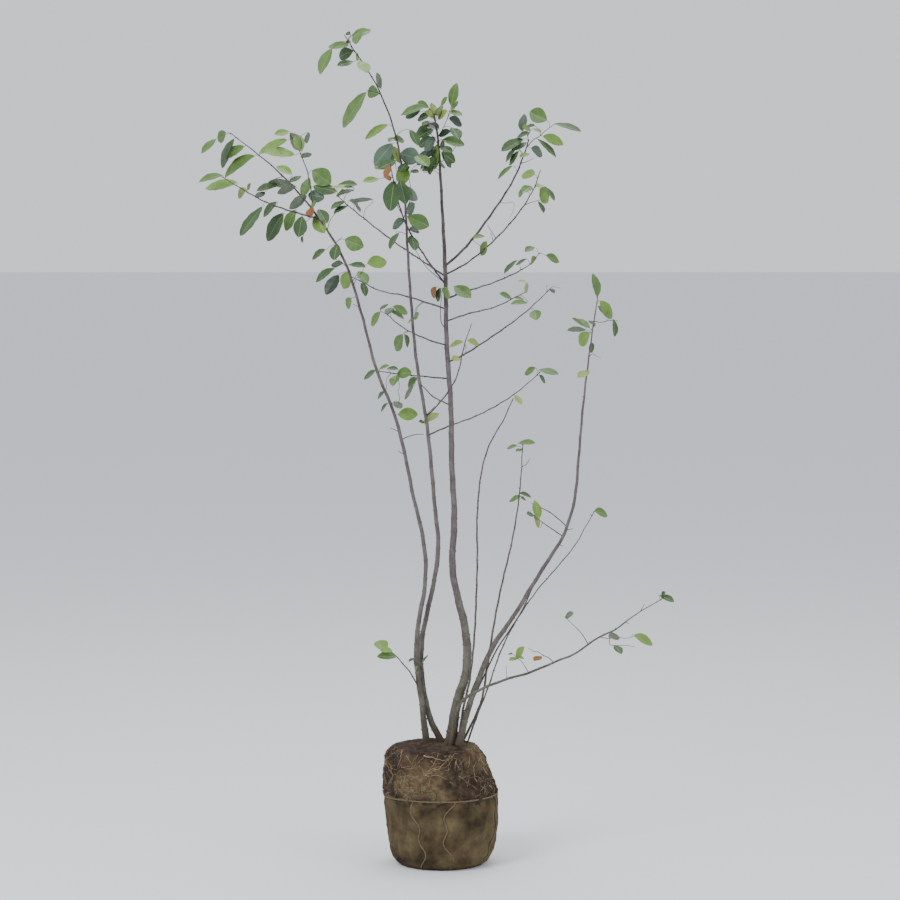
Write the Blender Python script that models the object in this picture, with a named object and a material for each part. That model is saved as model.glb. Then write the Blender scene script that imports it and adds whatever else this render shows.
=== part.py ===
# A young juneberry with several stems, standing on its root ball.
#
# The origin is the middle of the root ball's flat underside. +Z is up, +X is
# to the right and -Y is the front. Sizes below are in millimetres, and the
# heights of limbs and leaf masses are measured from the soil line, which is
# the flat crown of the root ball. The meshes themselves are in metres.

import math

import bpy
import numpy as np
from mathutils import Vector
from mathutils.bvhtree import BVHTree

for old in list(bpy.data.objects):
    bpy.data.objects.remove(old, do_unlink=True)

# ---------------------------------------------------------------- sizes, mm
SOIL = 290.0          # height of the root ball, underside to soil line
CROWN = (12.0, -4.0)  # middle of the flat crown that the stems stand on
CROWN_RADIUS = 66.0
GAP = 0.3             # clearance between neighbouring pieces
STEP = 3.0            # spacing of the samples along a limb's smooth course
STRAY = 0.7           # how far a limb's straight stretches may stray from its course
RING = 90.0           # longest stretch of a limb between two rings

# The root ball's radius to the left and to the right at each height. A girth
# rope draws the wrap in at about half height, and the left shoulder is fuller.
BALL = [
    (0, 97, 97), (8, 109, 109), (32, 121, 122), (70, 127, 131), (104, 129, 136),
    (134, 131, 137), (160, 133, 137), (178, 140, 135), (214, 140, 121),
    (244, 135, 105), (268, 121, 87), (283, 99, 77),
]

# ------------------------------------------------------------------- limbs
# foot or (parent, height): where the limb starts. bends: where it passes,
# as (right, back, height). radius: at its start, quarter, half, three
# quarters and tip. into: the leaf mass that it ends in.
LIMBS = {
    "trunk": dict(
        foot=(20, -12), radius=(12.2, 8.4, 6.2, 4.8, 2.4), flare=2.5, sides=9, into="mass_leader",
        bends=[(35, -9, 90), (59, -5, 178), (57, 0, 267), (40, 0, 342), (26, 0, 416), (30, 0, 545),
               (24, 0, 670), (22, -3, 804), (12, -5, 955), (9, -11, 1113), (0, -19, 1300), (-8, -28, 1430)]),
    "stem_left_outer": dict(
        foot=(-37, 2), radius=(7.4, 4.9, 3.8, 3.0, 1.3), flare=1.5, sides=8, into="mass_left_tip", parts=("lower", "upper"), cut=640,
        bends=[(-48, -7, 100), (-60, -17, 202), (-55, -18, 291), (-42, -14, 362), (-38, -3, 427), (-47, 11, 504),
               (-67, 24, 585), (-89, 47, 692), (-114, 74, 783), (-157, 115, 886), (-196, 169, 1025),
               (-240, 223, 1152), (-315, 270, 1267), (-402, 304, 1362), (-520, 331, 1440)]),
    "stem_left_inner": dict(
        foot=(2, 13), radius=(7.0, 5.3, 3.9, 2.6, 1.3), flare=1.5, sides=8, into="mass_crown_tip",
        bends=[(-26, 11, 52), (-48, 10, 162), (-47, 10, 247), (-33, 8, 319), (-16, 3, 400), (-8, -5, 477),
               (-16, -14, 566), (-26, -27, 683), (-35, -40, 767), (-59, -65, 918), (-72, -86, 1067),
               (-80, -105, 1198), (-88, -135, 1343), (-109, -176, 1456), (-150, -213, 1559), (-195, -240, 1630)]),
    "stem_right": dict(
        foot=(40, -30), radius=(8.0, 5.6, 3.8, 2.8, 1.6), flare=2.0, sides=8, into="mass_right_stem_top",
        bends=[(62, -26, 83), (86, -23, 152), (122, -20, 234), (174, -24, 312), (215, -32, 382), (255, -43, 448),
               (286, -54, 500), (312, -70, 585), (322, -94, 699), (330, -122, 813), (344, -151, 945), (350, -176, 1040)]),
    "stem_slender_front": dict(
        foot=(39, -3), radius=(2.9, 2.4, 2.1, 1.8, 1.3), flare=0.5, sides=6,
        bends=[(52, -22, 89), (66, -35, 153), (77, -57, 257), (82, -88, 372), (84, -108, 462), (83, -128, 547),
               (93, -162, 664), (112, -182, 731), (144, -202, 790), (165, -216, 839)]),
    "stem_slender_back": dict(
        foot=(49, 17), radius=(2.7, 2.6, 2.3, 1.8, 1.3), flare=0.5, sides=6, into="mass_slender_tip",
        bends=[(73, 25, 43), (96, 34, 98), (109, 43, 175), (127, 66, 284), (145, 89, 371), (168, 122, 462),
               (183, 151, 541), (192, 181, 617), (197, 203, 700)]),
    "shoot_right": dict(
        foot=(60, -8), radius=(2.1, 1.8, 1.6, 1.4, 1.1), flare=0.4, sides=6, into="mass_shoot_right_tip",
        bends=[(82, 0, 58), (111, 16, 130), (142, 30, 217), (176, 48, 282), (228, 81, 354), (278, 122, 406),
               (325, 162, 458), (353, 196, 502), (391, 219, 534)]),
    "bough_low_right": dict(
        foot=(20, -38), radius=(4.0, 3.3, 2.6, 2.0, 1.2), flare=0.8, sides=7, into="mass_low_right_tip",
        bends=[(34, -47, 82), (55, -54, 114), (97, -64, 140), (153, -93, 167), (205, -123, 187), (263, -158, 217),
               (316, -193, 246), (353, -219, 278), (405, -256, 311), (440, -284, 343), (512, -331, 394)]),
    "shoot_low_left": dict(
        on=("stem_left_outer", 128), radius=(1.9, 1.7, 1.5, 1.3, 1.1), sides=6, into="mass_low_left",
        bends=[(-73, -35, 171), (-105, -72, 216), (-133, -95, 240)]),
    "bough_left_side": dict(
        on=("stem_left_outer", 1246), radius=(2.1, 1.8, 1.6, 1.3, 1.0), sides=6, into="mass_left_side_tip",
        bends=[(-353, 216, 1262), (-417, 148, 1285), (-465, 101, 1312), (-519, 54, 1336)]),
    "bough_left_back": dict(
        on=("stem_left_outer", 1267), radius=(1.7, 1.5, 1.3, 1.2, 1.0), sides=6, into="mass_left_back",
        bends=[(-328, 317, 1351), (-354, 354, 1417), (-376, 378, 1450)]),
    "bough_left_high": dict(
        on=("trunk", 1113), radius=(2.4, 2.0, 1.8, 1.6, 1.3), sides=6, into="mass_left_high",
        bends=[(-47, 68, 1149), (-119, 142, 1196), (-218, 223, 1271), (-250, 256, 1300)]),
    "bough_left_inner": dict(
        on=("trunk", 1094), radius=(2.3, 2.0, 1.8, 1.6, 1.4), sides=6, into="mass_left_inner",
        bends=[(-39, -81, 1163), (-85, -162, 1246), (-108, -223, 1330), (-116, -255, 1380)]),
    "bough_right_leader": dict(
        on=("trunk", 1138), radius=(3.0, 2.7, 2.4, 2.1, 1.6), sides=7, into="mass_right_leader",
        bends=[(53, 16, 1178), (124, 68, 1268), (176, 115, 1350), (210, 150, 1433)]),
    "bough_right_high": dict(
        on=("trunk", 1118), radius=(2.2, 1.9, 1.7, 1.5, 1.2), sides=6, into="mass_right_high",
        bends=[(63, -54, 1149), (145, -128, 1224), (204, -189, 1304), (222, -212, 1334)]),
    "bough_right_upper": dict(
        on=("trunk", 1060), radius=(2.1, 1.8, 1.6, 1.4, 1.1), sides=6, into="mass_right_upper",
        bends=[(64, 54, 1078), (132, 128, 1098), (209, 202, 1134), (240, 230, 1155)]),
    "bough_right_upper_front": dict(
        on=("trunk", 1008), radius=(2.0, 1.7, 1.5, 1.3, 1.0), sides=6, into="mass_right_upper_front",
        bends=[(63, -68, 1028), (128, -142, 1048), (188, -210, 1082)]),
    "bough_right_mid": dict(
        on=("trunk", 910), radius=(2.2, 2.0, 1.7, 1.4, 1.1), sides=6, into="mass_right_mid",
        bends=[(48, 14, 925), (131, 74, 975), (199, 128, 1022), (255, 170, 1068)]),
    "bough_left_upper": dict(
        on=("trunk", 1036), radius=(2.1, 1.9, 1.6, 1.4, 1.1), sides=6, into="mass_left_upper",
        bends=[(-35, 14, 1051), (-91, 43, 1067), (-147, 81, 1077), (-203, 116, 1098)]),
    "bough_left_mid_front": dict(
        on=("trunk", 950), radius=(1.9, 1.7, 1.5, 1.3, 1.1), sides=6, into="mass_left_mid_front",
        bends=[(-24, -40, 963), (-88, -122, 997), (-124, -173, 1029)]),
    "bough_left_short": dict(
        on=("trunk", 808), radius=(1.8, 1.6, 1.5, 1.3, 1.1), sides=6,
        bends=[(-20, 14, 828), (-58, 57, 865)]),
    "bough_left_mid": dict(
        on=("trunk", 872), radius=(1.9, 1.7, 1.5, 1.3, 1.1), sides=6, into="mass_left_mid",
        bends=[(-20, 10, 874), (-73, 26, 878), (-118, 36, 881)]),
    "bough_right_low": dict(
        on=("stem_left_inner", 740), radius=(2.0, 1.7, 1.5, 1.3, 1.0), sides=6, into="mass_right_low",
        bends=[(15, 27, 756), (87, 108, 777), (171, 196, 818), (246, 266, 870)]),
    "bough_centre_front": dict(
        on=("stem_left_inner", 783), radius=(2.0, 1.7, 1.5, 1.3, 1.0), sides=6,
        bends=[(0, -63, 824), (35, -97, 881), (52, -142, 953), (69, -176, 1010)]),
    "twig_right_stem_upper": dict(
        on=("stem_right", 526), radius=(1.4, 1.3, 1.2, 1.1, 1.0), sides=6, into="mass_right_stem_low",
        bends=[(263, -24, 551), (232, -4, 567), (221, 3, 560)]),
    "twig_right_stem_lower": dict(
        on=("stem_right", 501), radius=(1.4, 1.3, 1.2, 1.1, 1.0), sides=6, into="mass_right_stem_low",
        bends=[(253, -34, 523), (226, -2, 538)]),
}

# -------------------------------------------------------------- leaf masses
# middle, half sizes across, deep and tall, lean of the long side in degrees,
# number of sides, and for a mass beside a limb the limb that carries it.
MASSES = {
    "mass_crown_tip": dict(at=(-217, -256, 1635), half=(70, 52, 36), lean=42, sides=12),
    "mass_inner_stem_top": dict(at=(-184, -262, 1518), half=(70, 30, 23), lean=54, sides=10, on="stem_left_inner"),
    "mass_left_inner": dict(at=(-118, -263, 1357), half=(57, 41, 92), lean=0, sides=12),
    "mass_centre": dict(at=(-60, -50, 1232), half=(34, 27, 46), lean=0, sides=10, on="stem_left_inner"),
    "mass_leader": dict(at=(-19, -34, 1456), half=(74, 57, 108), lean=0, sides=14),
    "mass_right_leader": dict(at=(227, 142, 1444), half=(102, 48, 62), lean=12, sides=14),
    "mass_right_high": dict(at=(220, -216, 1315), half=(41, 30, 42), lean=0, sides=10),
    "mass_right_upper": dict(at=(224, 227, 1147), half=(64, 32, 26), lean=0, sides=10),
    "mass_right_upper_front": dict(at=(170, -205, 1080), half=(32, 23, 21), lean=0, sides=9),
    "mass_right_mid": dict(at=(242, 162, 1045), half=(27, 21, 35), lean=0, sides=9),
    "mass_left_tip": dict(at=(-528, 335, 1408), half=(68, 44, 58), lean=0, sides=12),
    "mass_left_side_tip": dict(at=(-517, 57, 1328), half=(62, 30, 24), lean=0, sides=10),
    "mass_left_back": dict(at=(-392, 371, 1420), half=(66, 32, 45), lean=0, sides=12),
    "mass_left_heart": dict(at=(-287, 216, 1323), half=(34, 25, 46), lean=0, sides=10, on="stem_left_outer"),
    "mass_left_under": dict(at=(-332, 214, 1219), half=(50, 23, 24), lean=0, sides=10, on="bough_left_side"),
    "mass_left_side_low": dict(at=(-437, 142, 1226), half=(56, 25, 29), lean=38, sides=10, on="bough_left_side"),
    "mass_left_side_high": dict(at=(-401, 238, 1330), half=(50, 23, 23), lean=0, sides=10, on="stem_left_outer"),
    "mass_left_high": dict(at=(-226, 263, 1298), half=(54, 30, 29), lean=0, sides=10),
    "mass_left_stem_right": dict(at=(-180, 227, 1167), half=(48, 23, 32), lean=0, sides=10, on="stem_left_outer"),
    "mass_left_stem_left": dict(at=(-287, 200, 1125), half=(30, 24, 54), lean=0, sides=10, on="stem_left_outer"),
    "mass_left_upper": dict(at=(-203, 111, 1090), half=(29, 23, 36), lean=0, sides=9),
    "mass_left_mid_front": dict(at=(-120, -176, 1025), half=(45, 28, 30), lean=0, sides=10),
    "mass_left_mid": dict(at=(-111, 35, 879), half=(35, 21, 20), lean=0, sides=9),
    "mass_left_stem_low": dict(at=(-76, 105, 783), half=(29, 18, 18), lean=0, sides=9, on="stem_left_outer"),
    "mass_right_low": dict(at=(246, 270, 868), half=(43, 23, 21), lean=0, sides=9),
    "mass_slender_tip": dict(at=(190, 205, 699), half=(36, 21, 14), lean=0, sides=9),
    "mass_right_stem_top": dict(at=(349, -176, 1036), half=(47, 39, 88), lean=0, sides=12),
    "mass_right_stem_low": dict(at=(221, 3, 547), half=(18, 16, 33), lean=0, sides=9),
    "mass_shoot_right_tip": dict(at=(391, 219, 534), half=(18, 14, 11), lean=0, sides=8),
    "mass_low_right_tip": dict(at=(513, -331, 394), half=(19, 14, 11), lean=0, sides=8),
    "mass_low_right_mid": dict(at=(433, -259, 275), half=(55, 21, 19), lean=0, sides=10, on="bough_low_right"),
    "mass_low_left": dict(at=(-133, -95, 240), half=(28, 16, 24), lean=0, sides=9),
}


# ------------------------------------------------------------- centrelines
def course(stations):
    """A smooth line through the stations, sampled evenly: centripetal Catmull-Rom."""
    p = np.array(stations, float)
    p = np.vstack([2 * p[0] - p[1], p, 2 * p[-1] - p[-2]])
    line = []
    for a, b, c, d in zip(p, p[1:], p[2:], p[3:]):
        ta = 0.0
        tb = ta + math.sqrt(np.linalg.norm(b - a))
        tc = tb + math.sqrt(np.linalg.norm(c - b))
        td = tc + math.sqrt(np.linalg.norm(d - c))
        for t in np.linspace(tb, tc, 24, endpoint=False):
            ab = ((tb - t) * a + (t - ta) * b) / (tb - ta)
            bc = ((tc - t) * b + (t - tb) * c) / (tc - tb)
            cd = ((td - t) * c + (t - tc) * d) / (td - tc)
            abc = ((tc - t) * ab + (t - ta) * bc) / (tc - ta)
            bcd = ((td - t) * bc + (t - tb) * cd) / (td - tb)
            line.append(((tc - t) * abc + (t - tb) * bcd) / (tc - tb))
    line.append(p[-2])
    line = np.array(line)
    along = np.concatenate([[0], np.cumsum(np.linalg.norm(np.diff(line, axis=0), axis=1))])
    even = np.linspace(0, along[-1], max(8, int(along[-1] / STEP)))
    line = np.column_stack([np.interp(even, along, line[:, k]) for k in range(3)])
    # the straight stretches that follow the course closely enough
    kept = [0]
    while kept[-1] < len(line) - 1:
        a, b = kept[-1], kept[-1] + 1
        while b + 1 < len(line):
            chord = line[b + 1] - line[a]
            reach = np.linalg.norm(chord)
            off = line[a:b + 2] - line[a]
            off = off - np.outer(off @ chord / reach ** 2, chord)
            if reach > RING or np.linalg.norm(off, axis=1).max() > STRAY:
                break
            b += 1
        kept.append(b)
    line = line[kept]
    return line, np.concatenate([[0], np.cumsum(np.linalg.norm(np.diff(line, axis=0), axis=1))])


class Limb:
    """A tapering limb: its centreline, its radius along it, and frames across it."""

    def __init__(self, start, bends, radius, sides, flare=0.0):
        self.line, self.along = course([start] + list(bends))
        self.length = self.along[-1]
        self.sides = sides
        share = self.along / self.length
        self.radius = np.interp(share, (0, 0.25, 0.5, 0.75, 1), radius) + flare * np.exp(-self.along / 35.0)
        ways = np.diff(self.line, axis=0)
        ways /= np.linalg.norm(ways, axis=1)[:, None]
        self.heading = np.vstack([ways[:1], ways[:-1] + ways[1:], ways[-1:]])
        self.heading /= np.linalg.norm(self.heading, axis=1)[:, None]
        side = np.cross(self.heading[0], (0.0, 1.0, 0.0) if abs(self.heading[0][1]) < 0.9 else (1.0, 0.0, 0.0))
        frames = []
        for h in self.heading:
            side = side - h * np.dot(side, h)
            side = side / np.linalg.norm(side)
            frames.append(side.copy())
        self.side = np.array(frames)

    def at(self, s):
        """Place, heading, side and radius at a distance along the limb."""
        def read(values):
            return np.array([np.interp(s, self.along, values[:, k]) for k in range(3)])
        h = read(self.heading)
        h /= np.linalg.norm(h)
        u = read(self.side)
        u -= h * np.dot(u, h)
        u /= np.linalg.norm(u)
        return read(self.line), h, u, float(np.interp(s, self.along, self.radius))

    def ring(self, s):
        place, h, u, r = self.at(s)
        v = np.cross(h, u)
        turn = [2 * math.pi * k / self.sides for k in range(self.sides)]
        return np.array([place + r * (math.cos(t) * u + math.sin(t) * v) for t in turn])

    def clearance(self, point):
        """How far a point is outside this limb's round skin."""
        a, b = self.line[:-1], self.line[1:]
        ab = b - a
        t = np.clip(np.einsum("ij,ij->i", point - a, ab) / np.einsum("ij,ij->i", ab, ab), 0, 1)
        away = np.linalg.norm(a + ab * t[:, None] - point, axis=1)
        return float((away - (self.radius[:-1] * (1 - t) + self.radius[1:] * t)).min())

    def nearest(self, point):
        fine = np.arange(0, self.length, 1.0)
        spots = np.column_stack([np.interp(fine, self.along, self.line[:, k]) for k in range(3)])
        k = int(np.argmin(np.linalg.norm(spots - point, axis=1)))
        return spots[k], float(np.interp(fine[k], self.along, self.radius))

    def height(self, z):
        return float(np.interp(z, self.line[:, 2], self.along))


# ------------------------------------------------------------------ meshes
def add_piece(name, verts, faces, material):
    verts = np.array(verts) * 0.001
    mesh = bpy.data.meshes.new(name)
    mesh.from_pydata([tuple(v) for v in verts], [], faces)
    mesh.validate()
    mesh.materials.append(material)
    mesh.shade_smooth()
    mesh.set_sharp_from_angle(angle=math.radians(50))
    piece = bpy.data.objects.new(name, mesh)
    bpy.context.scene.collection.objects.link(piece)
    return piece


def finish(name, colour, rough):
    material = bpy.data.materials.new(name)
    material.use_nodes = True
    shader = material.node_tree.nodes["Principled BSDF"]
    shader.inputs["Base Color"].default_value = (*colour, 1)
    shader.inputs["Roughness"].default_value = rough
    shader.inputs["Metallic"].default_value = 0.0
    return material


def skin(rings, first_middle, last_middle):
    """Closes a row of rings into one body with a fan at each end."""
    n = len(rings[0])
    verts = [v for ring in rings for v in ring] + [first_middle, last_middle]
    first, last = len(verts) - 2, len(verts) - 1
    faces = []
    for k in range(len(rings) - 1):
        for j in range(n):
            a, b = k * n + j, k * n + (j + 1) % n
            faces += [(a, b, b + n), (a, b + n, a + n)]
    top = (len(rings) - 1) * n
    for j in range(n):
        faces.append((first, (j + 1) % n, j))
        faces.append((last, top + j, top + (j + 1) % n))
    return verts, faces


def slide_back(point, heading, parent, furthest):
    """Moves a point back along the bough until it all but meets the parent's skin."""
    best = point
    for k in range(1, int(furthest / 0.1) + 1):
        moved = point - heading * (0.1 * k)
        if parent.clearance(moved) < GAP + 0.25:
            break
        best = moved
    return best


def clear_of(limb, s, tree):
    """Whether the limb's ring at s is outside a leaf mass, with the gap."""
    for p in list(limb.ring(s)) + [limb.at(s)[0]]:
        where, normal, _, away = tree.find_nearest(Vector(p))
        if away < GAP or (Vector(p) - where).dot(normal) < 0:
            return False
    return True


# ------------------------------------------------------------ the root ball
def root_ball():
    """A wrapped ball of earth: a lathe with a fuller left shoulder and shallow folds."""
    sides, lumps = 26, np.random.RandomState(11).uniform(0, 2 * math.pi, 6)
    rings = []
    for z, left, right in BALL:
        ring = []
        for j in range(sides):
            a = 2 * math.pi * j / sides
            r = (left + right) / 2 - (left - right) / 2 * math.cos(a)
            swell = math.sin(math.pi * min(z, 270) / 300)
            r += swell * (2.2 * math.cos(3 * a + lumps[0] + z / 60) + 1.6 * math.cos(5 * a + lumps[1] - z / 45)
                          + 1.2 * math.cos(8 * a + lumps[2]))
            ring.append((r * math.cos(a), r * math.sin(a), z))
        rings.append(ring)
    rings.append([(CROWN[0] + CROWN_RADIUS * math.cos(2 * math.pi * j / sides),
                   CROWN[1] + CROWN_RADIUS * math.sin(2 * math.pi * j / sides), SOIL) for j in range(sides)])
    return skin(rings, (0, 0, 0), (CROWN[0], CROWN[1], SOIL))


# ---------------------------------------------------------- the leaf masses
def leaf_mass(at, half, lean, sides, seed, carrier=None):
    """An uneven closed solid: a squashed ball with a few broad lobes of its own.
    Beside a limb it has one short stalk that all but touches that limb."""
    rng = np.random.RandomState(seed)
    ways = rng.normal(size=(5, 3))
    ways /= np.linalg.norm(ways, axis=1)[:, None]
    phases, sizes = rng.uniform(0, 2 * math.pi, 5), rng.uniform(0.05, 0.11, 5)
    middle = np.array([at[0], at[1], at[2] + SOIL], float)
    c, s = math.cos(math.radians(lean)), math.sin(math.radians(lean))
    levels = max(4, sides // 2 + 1)

    def point(n):
        lobes = 0.93 + sum(z * math.cos(3.1 * np.dot(w, n) + p) for w, p, z in zip(ways, phases, sizes))
        x, y, z = n[0] * half[0] * lobes, n[1] * half[1] * lobes, n[2] * half[2] * lobes
        return middle + (c * x - s * z, y, s * x + c * z)

    rings = []
    for k in range(1, levels):
        tilt = math.pi * k / levels
        rings.append([point(np.array((math.sin(tilt) * math.cos(2 * math.pi * (j + 0.5 * (k % 2)) / sides),
                                      math.sin(tilt) * math.sin(2 * math.pi * (j + 0.5 * (k % 2)) / sides),
                                      -math.cos(tilt)))) for j in range(sides)])
    verts, faces = skin(rings, point(np.array((0, 0, -1.0))), point(np.array((0, 0, 1.0))))
    verts = np.array(verts)
    if carrier is not None:
        spot, radius = carrier.nearest(middle)
        out = (middle - spot) / np.linalg.norm(middle - spot)
        ways_out = (verts - middle) / np.linalg.norm(verts - middle, axis=1)[:, None]
        k = int(np.argmax(ways_out @ -out))
        verts[k] = spot + out * (radius + GAP + 0.3)
    return verts, faces


def wrap(verts, faces):
    return BVHTree.FromPolygons([Vector(v) for v in verts], faces)


# ------------------------------------------------------------------- build
bark = finish("bark", (0.155, 0.130, 0.115), 0.8)
young_bark = finish("young_bark", (0.060, 0.040, 0.042), 0.7)
leaf = finish("leaf", (0.120, 0.210, 0.045), 0.6)
earth = finish("earth", (0.090, 0.062, 0.040), 0.95)

verts, faces = root_ball()
add_piece("root_ball", verts, faces, earth)

limbs = {}
for name, spec in LIMBS.items():
    if "foot" in spec:
        start = (*spec["foot"], 0.0)
        parent = None
    else:
        parent = limbs[spec["on"][0]]
        start = parent.at(parent.height(spec["on"][1] + SOIL))[0] - (0, 0, SOIL)
    bends = [(x, y, z) for x, y, z in spec["bends"]]
    limb = Limb(tuple(start), bends, spec["radius"], spec["sides"], spec.get("flare", 0.0))
    limb.line[:, 2] += SOIL
    limb.parent = parent
    limbs[name] = limb

trees = {}
for seed, (name, spec) in enumerate(MASSES.items()):
    verts, faces = leaf_mass(spec["at"], spec["half"], spec["lean"], spec["sides"], 31 + seed,
                             limbs[spec["on"]] if "on" in spec else None)
    add_piece(name, verts, faces, leaf)
    trees[name] = wrap(verts, faces)

for name, spec in LIMBS.items():
    limb = limbs[name]
    # the start: flat on the root ball's crown, or fitted to the parent's skin
    if limb.parent is None:
        low = 0.0
        first = []
        for p in limb.ring(0.0):
            h = limb.heading[0]
            first.append(p + h * ((SOIL + GAP - p[2]) / h[2]))
        first_middle = limb.line[0] + limb.heading[0] * ((SOIL + GAP - limb.line[0][2]) / limb.heading[0][2])
    else:
        low = 0.5
        while min(limb.parent.clearance(p) for p in limb.ring(low)) < GAP + 0.25:
            low += 0.25
        heading = limb.at(low)[1]
        r = limb.at(low)[3]
        first = [slide_back(p, heading, limb.parent, 5 * r) for p in limb.ring(low)]
        first_middle = slide_back(limb.at(low)[0], heading, limb.parent, 5 * r)
    # the end: at its own tip, or where it enters its leaf mass
    high = limb.length
    if "into" in spec:
        tree = trees[spec["into"]]
        s = low + 4.0
        while s < limb.length and clear_of(limb, s, tree):
            s += 1.0
        high = s - 1.0
        while high < limb.length and clear_of(limb, high + 0.05, tree):
            high += 0.05
    # one body, or two where a long stem is parted at its bend
    spans = [(name, low, high, True)]
    if "parts" in spec:
        s = limb.height(spec["cut"] + SOIL)
        spans = [(name + "_" + spec["parts"][0], low, s - GAP / 2, True),
                 (name + "_" + spec["parts"][1], s + GAP / 2, high, False)]
    for piece, a, b, at_start in spans:
        stops = [a] + [s for s in limb.along if a + 6.0 < s < b - 6.0] + [b]
        if at_start and limb.parent is None:
            stops.insert(1, a + 14.0)
            stops = stops[:2] + [s for s in stops[2:] if s > a + 22.0]
        rings = [limb.ring(s) for s in stops]
        middle = limb.at(a)[0]
        if at_start:
            rings[0] = np.array(first)
            middle = first_middle
            if limb.parent is not None:
                rings.insert(1, limb.ring(a + 0.6 * limb.at(a)[3] + 0.5))
        verts, faces = skin(rings, middle, limb.at(b)[0])
        add_piece(piece, verts, faces, bark if limb.radius[0] > 3.5 else young_bark)
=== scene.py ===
# The looks of a young juneberry with several stems, on its wrapped root ball.
#
# Everything is in metres in the frame's own coordinates: the origin is the
# middle of the ball's flat underside, +Z is up and -Y is the front. Heights in
# the tables are in millimetres above the soil line unless they say otherwise.

import math

import bpy
import numpy as np
from mathutils import Matrix, Vector


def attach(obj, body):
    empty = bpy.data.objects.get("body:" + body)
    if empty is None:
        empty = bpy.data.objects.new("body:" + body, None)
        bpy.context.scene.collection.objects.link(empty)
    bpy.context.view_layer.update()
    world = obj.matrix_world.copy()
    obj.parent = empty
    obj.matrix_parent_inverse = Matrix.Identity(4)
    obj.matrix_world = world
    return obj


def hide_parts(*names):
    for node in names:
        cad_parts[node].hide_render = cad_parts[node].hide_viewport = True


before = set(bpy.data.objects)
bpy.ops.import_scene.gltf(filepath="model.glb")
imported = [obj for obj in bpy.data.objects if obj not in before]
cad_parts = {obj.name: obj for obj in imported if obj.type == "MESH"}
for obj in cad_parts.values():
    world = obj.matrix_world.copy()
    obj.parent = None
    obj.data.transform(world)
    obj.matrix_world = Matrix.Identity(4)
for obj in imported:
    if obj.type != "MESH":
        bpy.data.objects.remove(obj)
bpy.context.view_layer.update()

SOIL = 290.0
EYE = np.array((19.8, -7500.0, 1615.0))   # where the plant is looked at from, mm
DIP = math.radians(4.14)                  # how far that look is tilted down
REACH = 3409.0                            # its focal length in pixels of a 900 x 900 frame


def sight(u, v, depth):
    """The place in mm on the line of sight through a pixel, at a depth (y)."""
    a, b = (u - 450) / REACH, (450 - v) / REACH
    way = np.array((a, math.cos(DIP) + b * math.sin(DIP), -math.sin(DIP) + b * math.cos(DIP)))
    return EYE + way * ((depth - EYE[1]) / way[1])


def seen(points):
    """The pixels where places in mm are seen."""
    d = np.atleast_2d(points) - EYE
    far = d[:, 1] * math.cos(DIP) - d[:, 2] * math.sin(DIP)
    up = d[:, 1] * math.sin(DIP) + d[:, 2] * math.cos(DIP)
    return np.column_stack([450 + REACH * d[:, 0] / far, 450 - REACH * up / far])


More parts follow.
